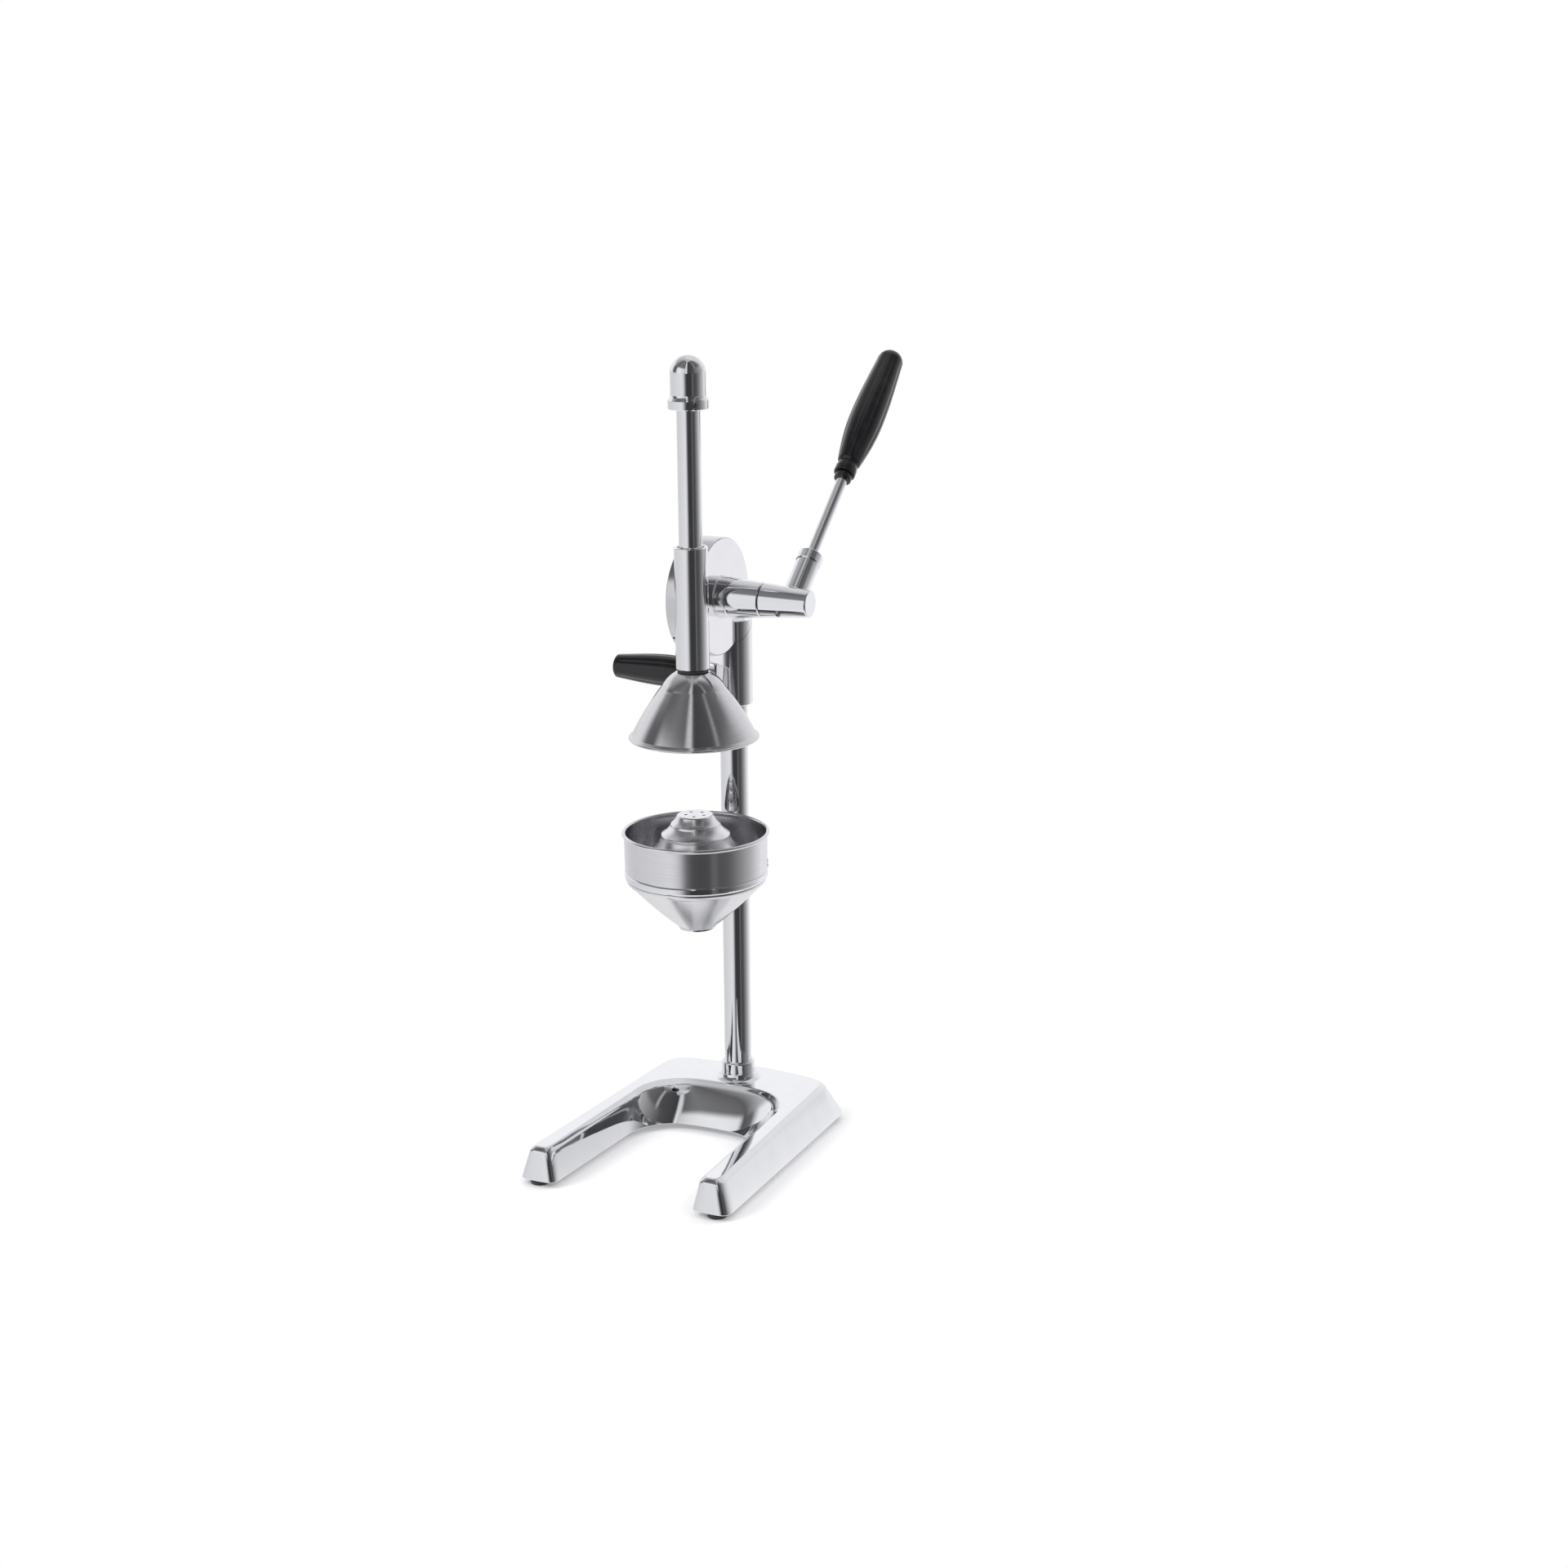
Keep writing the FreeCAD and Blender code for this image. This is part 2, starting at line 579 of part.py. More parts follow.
# the parts below lie along the shaft: they are turned so that their Z is the shaft's +X
on_shaft = dict(at=(0, shaft_y, high), turn=(Y, 90))
housing_end = size("housing_end")
turned("bearing_housing", [
    (10.5, right - 1), (12, right - 1), (12, right + 9.6), (16.4, right + 9.6),
    (16.8, right + 10), (14.8, housing_end - 0.8), (14, housing_end), (10.5, housing_end)],
    **on_shaft)
turned("outer_bush", tube(10.5, shaft_r + run, housing_end - 18, housing_end, 0.2), **on_shaft)
turned("inner_bush", tube(11, shaft_r + run, -left, -left + 10, 0.2), **on_shaft)
cover = turned("case_cover", [
    (11, -left), (drum_r - drum_t - 0.5, -left), (drum_r - drum_t, -left + 0.5),
    (drum_r - drum_t, -left + 4.4), (drum_r - drum_t - 3, -left + 4.4),
    (drum_r - drum_t - 3, -left + 3), (15, -left + 3), (15, -left + 10), (11, -left + 10)],
    **on_shaft)
for i, angle in enumerate(screw_at, 1):
    sk = sketch(cover, f"screw_hole_{i}", "XZ")
    circle(sk, 0, -(left - 2.8), 1.5 + fit)
    sk.AttachmentOffset = FreeCAD.Placement(
        FreeCAD.Vector(0, 0, 0), FreeCAD.Rotation(Y, angle))
    push(cover, sk, drum_r + 5, f"screw_hole_{i}", "Pocket")
cover_screws = []
for i, angle in enumerate(screw_at, 1):
    rad = math.radians(angle)
    tip = drum_r - drum_t - 3
    cover_screws.append(turned(f"cover_screw_{i}", [
        (0, 5), (0.8, 5), (0.8, 6.1), (1.2, 6.1), (1.5, 5.8), (1.5, 0.3), (1.2, 0),
        (0, 0)],
        (-left + 2.8, shaft_y + tip * math.cos(rad), high + tip * math.sin(rad)),
        (X, angle - 90), node=False))
group("cover_screws", cover_screws)

guide = body("guide_tube", (0, -reach, 0))
sk = sketch(guide, "outline")
outline(sk, (guide_b, g_low), (guide_r - 0.5, g_low), (guide_r, g_low + 0.5),
        (guide_r, g_top - 0.6), (guide_r - 0.6, g_top, 0.61), (guide_b + 0.4, g_top),
        (guide_b, g_top - 0.4))
spin(guide, sk)
sk = sketch(guide, "window", "XY", high - 24)
outline(sk, (-8, 3.6), (8, 3.6), (8, guide_r + 2), (-8, guide_r + 2))
push(guide, sk, 48, "window", "Pocket", back=True)
bush = size("bush_length")
for name, low in (("lower_bush", g_low + 0.5), ("upper_bush", g_top - bush - 1)):
    turned(name, tube(guide_b, rod_r + run, low, low + bush, 0.2), (0, -reach, 0))

# ---------------------------------------------------------------- clamp handle

start, end = size("clamp_grip_start"), size("clamp_grip_end")
grip_r = size("clamp_grip_radius")


def grip(name, low, tip, radius, hole, depth, at, turn, flat=False):
    """A long fluted grip, swelling towards its outer half, bored for its rod."""
    span = tip - low
    neck = radius * 0.62
    corners = [(0, low), (neck - 1, low), (neck, low + 1, 1.01), (neck, low + span * 0.05),
               (neck - 1.2, low + span * 0.065), (neck - 1.2, low + span * 0.08),
               (neck + 0.6, low + span * 0.095), (radius, low + span * 0.42, -190)]
    if flat:
        corners += [(radius, low + span * 0.72), (radius - 1, tip - 5, 120),
                    (radius - 5, tip, 5.2), (0, tip)]
    else:
        corners += [(radius * 0.8, tip - span * 0.12, 170), (radius * 0.5, tip - 2.4, 16),
                    (0, tip, dome(radius * 0.5, Q(2.4)))]
    made = turned(name, corners, at, turn)
    sk = sketch(made, "bore", "XY", low - 1)
    circle(sk, 0, 0, hole)
    push(made, sk, depth + 1, "bore", "Pocket", back=True)
    return made


along_clamp = dict(at=(0, 0, clamp_z), turn=(Y, -90))
turned("clamp_stud", rod(stud_r, col_r + gap, start + 40), **along_clamp)
turned("clamp_ferrule", tube(7.5, stud_r, 22 + gap, start, 0.8), **along_clamp)
grip("clamp_grip", start, end, grip_r, stud_r, 40, flat=True, **along_clamp)

# ---------------------------------------------------------------- pinion, shaft and lever

plane, head_end = size("lever_plane"), size("head_end")
angle = size("lever_angle")
tooth = math.pi * SIZES["gear_module"]
n, m = SIZES["gear_teeth"], SIZES["gear_module"]


def involute(radius):
    """The polar angle of the flank at a radius, from the flank's start on the base circle."""
    base_r = m * n / 2 * math.cos(math.radians(20))
    slope = math.sqrt(max((radius / base_r) ** 2 - 1, 0))
    return slope - math.atan(slope)


pinion = body("pinion_gear", **on_shaft)
outer, root = mod * (n / 2 + 1) - 0.06, mod * (n / 2 - 1.25)
half_w = size("gear_width") / 2
sk = sketch(pinion, "blank")
outline(sk, (shaft_r, -half_w - 2), (14, -half_w - 2), (14, -half_w), (outer - 0.5, -half_w),
        (outer, -half_w + 0.5), (outer, half_w - 0.5), (outer - 0.5, half_w),
        (shaft_r, half_w))
spin(pinion, sk, "blank")
half_gap = math.pi / (2 * n) + 0.12 / (m * n / 2)
offset = half_gap - involute(m * n / 2)
flank = []
for k in range(7):
    radius = (n / 2 - 1.25) + k * (2.45 / 6)
    turn_ = offset + involute(m * radius)
    flank.append((mod * (radius * math.sin(turn_)), mod * (-radius * math.cos(turn_))))
sk = sketch(pinion, "gap", "XY", half_w + 1)
outline(sk, *flank, *[(-x, y) for x, y in reversed(flank)])
cut = push(pinion, sk, size("gear_width") + 2, "gap", "Pocket")
ring_of(pinion, cut, teeth, "teeth")

turned("pinion_shaft", rod(shaft_r, -left - 3, head_end - 6, 0.8), **on_shaft)
turned("shaft_cap", [(shaft_r, -left - 0.4), (shaft_r, -left - 3), (0, -left - 3),
                     (0, -left - 5.5), (9, -left - 5.5), (11, -left - 3.5, 2.9),
                     (11, -left - 0.4)], **on_shaft)

turn_lever = (X, angle - 90)
on_lever = dict(at=(plane, shaft_y, high), turn=turn_lever)
head = body("lever_head", **on_lever)
h_low, h_high = housing_end + gap - plane, head_end - plane
sk = sketch(head, "hub")
outline(sk, (h_low, shaft_r), (h_low, 13.8), (h_low + 0.8, 14.6), (h_high - 1.5, 11.4),
        (h_high, 9.9, -1.51), (h_high, 0), (h_high - 6, 0), (h_high - 6, shaft_r))
spin(head, sk, "hub", axis="H_Axis")
sock_r, sock_end = size("socket_radius"), size("socket_end")
sk = sketch(head, "socket")
outline(sk, (0, 9), (sock_r, 9), (sock_r, sock_end - 0.6), (sock_r - 0.6, sock_end),
        (0, sock_end))
spin(head, sk, "socket")
sk = sketch(head, "rod_way", "XY", 14)
lever_r = size("lever_rod_radius")
circle(sk, 0, 0, lever_r)
push(head, sk, sock_end - 12, "rod_way", "Pocket", back=True)
sk = sketch(head, "screw_way", "XY", -20)
circle(sk, -8, 0, 2.5)
push(head, sk, 15, "screw_way", "Pocket", back=True)
turned("head_screw", [(0, -13), (1.2, -13), (1.2, -14.4), (2.1, -14.4), (2.5, -14),
                      (2.5, -8.4), (0, -8.4)], (plane - 8, shaft_y, high), turn_lever)

turned("lever_collar", [
    (lever_r, sock_end), (sock_r, sock_end), (sock_r + 0.6, sock_end + 0.6),
    (sock_r + 0.6, size("collar_end") - 1.2), (sock_r - 0.8, size("collar_end"), 1.8),
    (lever_r, size("collar_end"))], **on_lever)
turned("lever_rod", rod(lever_r, 14, size("grip_start") + 60), **on_lever)
turned("lever_ferrule", tube(7.4, lever_r, size("grip_start") - 6, size("grip_start"), 0.8),
       **on_lever)
grip("lever_grip", size("grip_start"), size("grip_end"), size("grip_radius"), lever_r, 60,
     **on_lever)

# ---------------------------------------------------------------- press rod, cap and cone

cone_top, cone_low, cone_r = size("cone_top"), size("cone_low"), size("cone_radius")
cone_t, rod_top = size("cone_wall"), size("rod_top")
cap_low, cap_r, cap_top = size("cap_low"), size("cap_radius"), size("cap_top")
on_press = dict(at=(0, -reach, 0))
travel = 96.0

press = body("press_rod", **on_press)
sk = sketch(press, "bar")
outline(sk, (4, cone_top), (rod_r - 0.5, cone_top), (rod_r, cone_top + 0.5),
        (rod_r, rod_top - 1), (rod_r - 1, rod_top), (0, rod_top), (0, cone_top + 22),
        (4, cone_top + 18))
spin(press, sk, "bar")
pitch = mod * math.pi
count = int(math.ceil((travel + 30) / tooth))
# the pinion has a tooth gap facing the rod, so the rack has a tooth at the shaft's height
start_z = high - pitch * (math.floor(14 / tooth) + 0.5)
flat = size("rack_flat")
sk = sketch(press, "flat", "XY", start_z - pitch)
outline(sk, (-12, flat), (12, flat), (12, rod_r + 2), (-12, rod_r + 2))
push(press, sk, pitch * (count + 1), "flat", "Pocket", back=True)
sk = sketch(press, "tooth_gap", "YZ")
deep, wide = mod * 2.25, mod * (math.pi / 4) + 0.06
slope = math.tan(math.radians(20))
outline(sk, (flat + 1, start_z - wide - (mod + 1) * slope),
        (flat + 1, start_z + wide + (mod + 1) * slope),
        (flat - deep, start_z + wide - mod * (1.25 * slope)),
        (flat - deep, start_z - wide + mod * (1.25 * slope)))
cut = push(press, sk, 24, "tooth_gap", "Pocket", middle=True)
row_of(press, cut, count, pitch, "rack")

ct, low = cone_t, cone_low
turned("press_cone", [
    (4.4, cone_top - ct), (4.4, cone_top), (14, cone_top), (15.5, cone_top - 0.8, -2),
    (27, low + 43.6, -30), (51.6, low + 4.2, -230), (cone_r - 1.2, low + 2.2),
    (cone_r, low + 1.1, -1.25), (cone_r - 1.1, low, -1.2), (cone_r - 2.2, low + 1, -1.25),
    (50.6, low + 3.1), (26, low + 42.4, 228.5), (15, cone_top - 2.6, 28.5),
    (13.4, cone_top - ct, 1.9)], **on_press)
turned("cone_washer", tube(9, 4.4, cone_top - ct - 1.6, cone_top - ct, 0.3), **on_press)
z = cone_top - ct - 1.6
turned("cone_screw", [(0, z - 5), (2.6, z - 5), (2.6, z - 8), (6, z - 8), (6.5, z - 7.4),
                      (6.5, z), (4, z), (4, z + 18), (0, z + 18)], **on_press)
turned("bumper_ring", tube(13, rod_r, cone_top, g_low - gap, 0.6), **on_press)

cap = turned("rod_cap", [
    (0, rod_top), (rod_r, rod_top), (rod_r, cap_low), (cap_r + 1.6, cap_low),
    (cap_r + 2.2, cap_low + 0.7), (cap_r + 2.2, cap_low + 7.2),
    (cap_r + 1.4, cap_low + 8.4), (cap_r, cap_low + 12.4, -5), (cap_r, cap_top - 15.5),
    (0, cap_top, dome(cap_r, Q(15.5)))], **on_press)
sk = sketch(cap, "screw_hole", "XZ")
circle(sk, 0, cap_low + 4, 1.8)
sk.AttachmentOffset = FreeCAD.Placement(FreeCAD.Vector(0, 0, 0), FreeCAD.Rotation(Y, 45))
push(cap, sk, 30, "screw_hole", "Pocket", back=True)
turned("cap_screw", [(0, rod_r + 4), (0.8, rod_r + 4), (0.8, rod_r + 5), (1.4, rod_r + 5),
                     (1.75, rod_r + 4.6), (1.75, rod_r + 0.3), (1.3, rod_r), (0, rod_r)],
       (0, -reach, cap_low + 4), (FreeCAD.Vector(1, 1, 0), 90))

# ---------------------------------------------------------------- check and export

doc.recompute()
for name, made in NODES.items():
    doc.getObject(made.Name).Visibility = True
bad = [o.Name for o in doc.Objects if "Invalid" in o.State or "Error" in o.State]
if bad:
    raise SystemExit(f"features in error: {bad}")
for name, made in NODES.items():
    shape = made.Shape
    if shape.isNull() or not shape.isValid() or not shape.Solids:
        raise SystemExit(f"{name} has no valid solid")
    shape.exportStep(f"parts/{name}.step")
    box = shape.BoundBox
    print(f"{name:16s} solids {len(shape.Solids)} volume {shape.Volume / 1000:8.2f} cm3  "
          f"x {box.XMin:7.1f} {box.XMax:7.1f}  y {box.YMin:7.1f} {box.YMax:7.1f}  "
          f"z {box.ZMin:7.1f} {box.ZMax:7.1f}")
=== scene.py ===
import logging
import math
from dataclasses import dataclass, field
from enum import Enum
from typing import Any, Callable, ClassVar

import bmesh
import bpy
import numpy as np
from mathutils import Matrix, Vector


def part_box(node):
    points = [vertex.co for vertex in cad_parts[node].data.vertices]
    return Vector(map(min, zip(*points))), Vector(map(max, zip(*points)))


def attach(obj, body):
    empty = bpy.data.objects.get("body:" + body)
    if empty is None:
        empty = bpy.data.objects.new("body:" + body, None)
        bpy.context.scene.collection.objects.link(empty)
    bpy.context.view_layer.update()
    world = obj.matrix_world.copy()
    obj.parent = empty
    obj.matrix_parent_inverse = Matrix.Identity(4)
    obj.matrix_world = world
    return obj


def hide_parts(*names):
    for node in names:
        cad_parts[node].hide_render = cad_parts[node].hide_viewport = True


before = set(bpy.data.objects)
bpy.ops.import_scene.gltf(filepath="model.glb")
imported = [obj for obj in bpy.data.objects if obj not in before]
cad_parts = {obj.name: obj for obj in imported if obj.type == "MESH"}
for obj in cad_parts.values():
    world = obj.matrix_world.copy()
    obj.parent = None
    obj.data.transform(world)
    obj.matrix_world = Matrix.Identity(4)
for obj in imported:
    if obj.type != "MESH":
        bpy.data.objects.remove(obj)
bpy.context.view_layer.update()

# A lever press for citrus fruit: chromed stand and column, brushed strainer, funnel and cone,
# a rack-and-pinion head, and black fluted grips.  Metres, +Z up, front towards -Y.

log = logging.getLogger("citrus_press")
MM = 0.001
QUARTER_TURN = math.pi / 2
Colour = tuple[float, float, float]
Point = tuple[float, float, float]


class Brushing(Enum):
    """Which way the grinding lines of a steel part run."""

    AROUND = "around the part's axis"
    ALONG = "along the part's axis"


class Tip(Enum):
    """How the outer end of a grip is closed."""

    ROUNDED = "rounded"
    FLAT = "flat"


# ---------------------------------------------------------------- shader kit


class Wire:
    """An output socket of a shader graph; arithmetic on it adds Math nodes."""

    def __init__(self, graph: "Graph", socket: bpy.types.NodeSocket) -> None:
        """Keep the graph and the socket that this wire leaves."""
        self.graph = graph
        self.socket = socket

    def maths(self, operation: str, *values: Any) -> "Wire":
        """Add one Math node.

        Args:
            operation: The node's operation, such as MULTIPLY.
            values: The numbers or wires of its inputs in order.

        Returns:
            The node's value.
        """
        return self.graph.node("ShaderNodeMath", {"operation": operation},
                               dict(enumerate(values)))

    def __add__(self, other: Any) -> "Wire":
        """This value plus the other."""
        return self.maths("ADD", self, other)

    def __radd__(self, other: Any) -> "Wire":
        """The other value plus this one."""
        return self.maths("ADD", other, self)

    def __sub__(self, other: Any) -> "Wire":
        """This value less the other."""
        return self.maths("SUBTRACT", self, other)

    def __rsub__(self, other: Any) -> "Wire":
        """The other value less this one."""
        return self.maths("SUBTRACT", other, self)

    def __mul__(self, other: Any) -> "Wire":
        """This value times the other."""
        return self.maths("MULTIPLY", self, other)

    def __rmul__(self, other: Any) -> "Wire":
        """The other value times this one."""
        return self.maths("MULTIPLY", other, self)

    def __truediv__(self, other: Any) -> "Wire":
        """This value over the other."""
        return self.maths("DIVIDE", self, other)

    def __pow__(self, other: Any) -> "Wire":
        """This value to the power of the other."""
        return self.maths("POWER", self, other)

    def ease(self, low: float, high: float, start: float = 0.0, end: float = 1.0) -> "Wire":
        """Go smoothly from start to end while this value goes from low to high.

        Args:
            low: The value at which the result is start.
            high: The value at which the result is end.
            start: The first result.
            end: The last result.

        Returns:
            The eased value.
        """
        return self.graph.node(
            "ShaderNodeMapRange", {"interpolation_type": "SMOOTHSTEP"},
            {"Value": self, "From Min": low, "From Max": high, "To Min": start, "To Max": end})


class Graph:
    """A shader node tree that is filled by method calls."""

    def __init__(self, tree: bpy.types.NodeTree) -> None:
        """Empty the tree and take it over."""
        tree.nodes.clear()
        self.tree = tree

    def node(self, kind: str, settings: dict[str, Any] | None = None,
             inputs: dict[Any, Any] | None = None, output: Any = 0) -> Wire:
        """Add a node.

        Args:
            kind: The node's type.
            settings: Its properties, set first; "stops" gives a ramp's positions and colours.
            inputs: Values or wires by the name or the number of the socket.
            output: The name or the number of the socket to return.

        Returns:
            The wire that leaves the chosen output.
        """
        made = self.tree.nodes.new(kind)
        for key, value in (settings or {}).items():
            if key == "stops":
                ramp = made.color_ramp
                while len(ramp.elements) < len(value):
                    ramp.elements.new(1.0)
                for element, (position, colour) in zip(ramp.elements, value):
                    element.position, element.color = position, (*colour, 1.0)
            else:
                setattr(made, key, value)
        for key, value in (inputs or {}).items():
            socket = made.inputs[key]
            if isinstance(value, Wire):
                self.tree.links.new(value.socket, socket)
            else:
                socket.default_value = value
        return Wire(self, made.outputs[output] if made.outputs else None)

    def separate(self, vector: Wire) -> tuple[Wire, Wire, Wire]:
        """Split a vector.

        Args:
            vector: The coordinates.

        Returns:
            Its x, y and z.
        """
        first = self.node("ShaderNodeSeparateXYZ", None, {0: vector})
        return tuple(Wire(self, socket) for socket in first.socket.node.outputs)

    def noise(self, vector: Wire, scale: float, detail: float = 3.0,
              rough: float = 0.5) -> Wire:
        """Smooth noise from 0 to 1.

        Args:
            vector: The coordinates.
            scale: Blotches in one unit of the coordinates.
            detail: How many finer octaves are added.
            rough: How strong each finer octave is.

        Returns:
            The noise value.
        """
        return self.node("ShaderNodeTexNoise", None, {
            "Vector": vector, "Scale": scale, "Detail": detail, "Roughness": rough})

    def blend(self, amount: Any, first: Any, second: Any) -> Wire:
        """Mix two colours.

        Args:
            amount: 0 gives the first colour, 1 the second.
            first: A colour or a wire.
            second: A colour or a wire.

        Returns:
            The mixed colour.
        """
        colours = [(*c, 1.0) if isinstance(c, tuple) and len(c) == 3 else c
                   for c in (first, second)]
        return self.node("ShaderNodeMix", {"data_type": "RGBA"},
                         {0: amount, 6: colours[0], 7: colours[1]}, 2)


def object_space(graph: Graph, centre: Point, turn: Point = (0.0, 0.0, 0.0)) -> Wire:
    """Coordinates about a part's own centre and axis.

    Args:
        graph: The graph to add to.
        centre: A point of the part's axis.
        turn: The turns about X, Y and Z that carry Z onto that axis.

    Returns:
        The position with its z along the part's axis.
    """
    place = graph.node("ShaderNodeTexCoord", None, None, "Object")
    return graph.node("ShaderNodeMapping", {"vector_type": "TEXTURE"},
                      {"Vector": place, "Location": centre, "Rotation": turn})


def grinding_lines(graph: Graph, space: Wire, way: Brushing, pitch: float) -> Wire:
    """Fine scratches that run around or along a part's axis.

    Around: noise of (cos a, sin a, (z + r) / pitch), with a the angle and r the distance from
    the axis, so that a line keeps its strength for a part of a turn.  Along: noise of
    (x / pitch, y / pitch, z / length).

    Args:
        graph: The graph to add to.
        space: Coordinates about the part's axis.
        way: The direction of the lines.
        pitch: The distance between lines in metres.

    Returns:
        A value from 0 to 1 across the lines.
    """
    x, y, z = graph.separate(space)
    if way is Brushing.ALONG:
        fine = graph.node("ShaderNodeCombineXYZ", None,
                          {0: x * (1 / pitch), 1: y * (1 / pitch), 2: z * 12.0})
    else:
        reach = (x * x + y * y + 1e-9) ** 0.5
        fine = graph.node("ShaderNodeCombineXYZ", None,
                          {0: x / reach * 2.6, 1: y / reach * 2.6, 2: (z + reach) * (1 / pitch)})
    return graph.noise(fine, 1.0, 3.0, 0.62)


def surface(graph: Graph, base: Wire, rough: Wire, height: Wire, strength: float,
            depth: float, constants: dict[str, float]) -> None:
    """Finish a graph with one Principled shader.

    Args:
        graph: The material's graph.
        base: The base colour.
        rough: The roughness.
        height: A relief value.
        strength: The relief's strength.
        depth: The relief's height in metres.
        constants: Values set on the shader's own sockets.
    """
    relief = graph.node("ShaderNodeBump", None, {
        "Strength": strength, "Distance": depth, "Height": height})
    shader = graph.node("ShaderNodeBsdfPrincipled", None, {
        "Base Color": base, "Roughness": rough, **constants, "Normal": relief})
    graph.node("ShaderNodeOutputMaterial", None, {"Surface": shader})


def new_material(name: str) -> tuple[bpy.types.Material, Graph]:
    """Make an empty node material.

    Args:
        name: The material's name.

    Returns:
        The material and its graph.
    """
    material = bpy.data.materials.new(name)
    material.use_nodes = True
    return material, Graph(material.node_tree)


# ---------------------------------------------------------------- finishes


@dataclass(frozen=True)
class MirrorChrome:
    """Bright chrome plate: a mirror with faint casting waves, wiping marks and dust.

    With a rim radius, the surface at that radius is satin, as a turned edge is.
    """

    name: str
    tone: Colour = (0.86, 0.865, 0.885)
    centre: Point = (0.0, 0.0, 0.0)
    turn: Point = (0.0, 0.0, 0.0)
    wave: float = 0.35
    swell: float = 34.0
    gloss: float = 0.035
    lines: float = 0.0
    rim: float = 0.0
    rim_fade: float = 0.0004

    def material(self) -> bpy.types.Material:
        """Build the material."""
        made, graph = new_material(self.name)
        space = object_space(graph, self.centre, self.turn)
        waves = graph.noise(space, self.swell, 1.5)
        smudge = graph.noise(space, 55.0, 4.0).ease(0.42, 0.78)
        grain = graph.noise(space, 1500.0, 2.0).ease(0.55, 0.8)
        base = graph.blend(smudge * 0.35, self.tone, tuple(0.93 * c for c in self.tone))
        rough = smudge * 0.05 + self.gloss + grain * 0.03
        height = waves + grain * 0.004
        if self.rim:
            x, y, _ = graph.separate(space)
            out = (x * x + y * y) ** 0.5
            edge = (out.ease(self.rim - 3.5 * self.rim_fade, self.rim - self.rim_fade)
                    * out.ease(self.rim + self.rim_fade, self.rim + 3 * self.rim_fade, 1.0, 0.0))
            base = graph.blend(edge, base, tuple(0.74 * c for c in self.tone))
            rough = rough + edge * 0.08
        if self.lines:
            height = height + self.lines * grinding_lines(
                graph, space, Brushing.AROUND, 0.0006)
        surface(graph, base, rough, height, self.wave, 0.0006, {"Metallic": 1.0})
        return made


@dataclass(frozen=True)
class BrushedSteel:
    """Stainless steel sheet with grinding lines that stretch its highlights."""

    name: str
    tone: Colour = (0.72, 0.72, 0.74)
    centre: Point = (0.0, 0.0, 0.0)
    turn: Point = (0.0, 0.0, 0.0)
    pitch: float = 0.0005
    rough: float = 0.24
    stretch: float = 0.6
    relief: float = 0.35

    def material(self) -> bpy.types.Material:
        """Build the material."""
        made, graph = new_material(self.name)
        space = object_space(graph, self.centre, self.turn)
        lines = grinding_lines(graph, space, Brushing.AROUND, self.pitch)
        broad = grinding_lines(graph, space, Brushing.AROUND, self.pitch * 9)
        cloud = graph.noise(space, 34.0, 3.0)
        dark = tuple(0.8 * c for c in self.tone)
        base = graph.blend(lines.ease(0.3, 0.75) * 0.3 + cloud * 0.15, self.tone, dark)
        rough = lines * 0.1 + broad * 0.04 + (self.rough - 0.07)
        surface(graph, base, rough, lines + broad * 0.2, self.relief, 0.00001,
                {"Metallic": 1.0, "Anisotropic": self.stretch, "Anisotropic Rotation": 0.25})
        return made


@dataclass(frozen=True)
class MouldedGrip:
    """Glossy black moulded plastic with faint flow lines and handling marks."""

    name: str
    tone: Colour = (0.006, 0.006, 0.007)
    centre: Point = (0.0, 0.0, 0.0)
    turn: Point = (0.0, 0.0, 0.0)

    def material(self) -> bpy.types.Material:
        """Build the material."""
        made, graph = new_material(self.name)
        space = object_space(graph, self.centre, self.turn)
        worn = graph.noise(space, 90.0, 4.0).ease(0.45, 0.75)
        grain = graph.noise(space, 2200.0, 2.0)
        flow = grinding_lines(graph, space, Brushing.ALONG, 0.004)
        base = graph.blend(worn * 0.5, self.tone, tuple(2.2 * c for c in self.tone))
        rough = worn * 0.1 + flow * 0.05 + 0.17
        surface(graph, base, rough, grain * 0.3 + flow, 0.1, 0.00002,
                {"Metallic": 0.0, "Coat Weight": 0.15, "Coat Roughness": 0.1,
                 "Specular IOR Level": 0.45})
        return made


@dataclass(frozen=True)
class FootRubber:
    """Matt moulded rubber with a fine grain and paler rubbed patches."""

    name: str
    tone: Colour = (0.028, 0.028, 0.031)

    def material(self) -> bpy.types.Material:
        """Build the material."""
        made, graph = new_material(self.name)
        space = object_space(graph, (0.0, 0.0, 0.0))
        grain = graph.noise(space, 1400.0, 3.0)
        rubbed = graph.noise(space, 140.0, 3.0).ease(0.5, 0.75)
        base = graph.blend(rubbed * 0.6, self.tone, tuple(2.0 * c for c in self.tone))
        surface(graph, base, rubbed * 0.12 + 0.58, grain, 0.5, 0.0001, {"Metallic": 0.0})
        return made


@dataclass(frozen=True)
class SinteredBronze:
    """Oil-filled bronze bush: warm metal with dark pores."""

    name: str
    tone: Colour = (0.55, 0.36, 0.17)

    def material(self) -> bpy.types.Material:
        """Build the material."""
        made, graph = new_material(self.name)
        space = object_space(graph, (0.0, 0.0, 0.0))
        pores = graph.noise(space, 2600.0, 3.0).ease(0.52, 0.66)
        stain = graph.noise(space, 120.0, 3.0)
        base = graph.blend(pores * 0.6 + stain * 0.25, self.tone, (0.16, 0.09, 0.04))
        surface(graph, base, pores * 0.2 + 0.32, 1.0 - pores, 0.4, 0.00006,
                {"Metallic": 1.0})
        return made


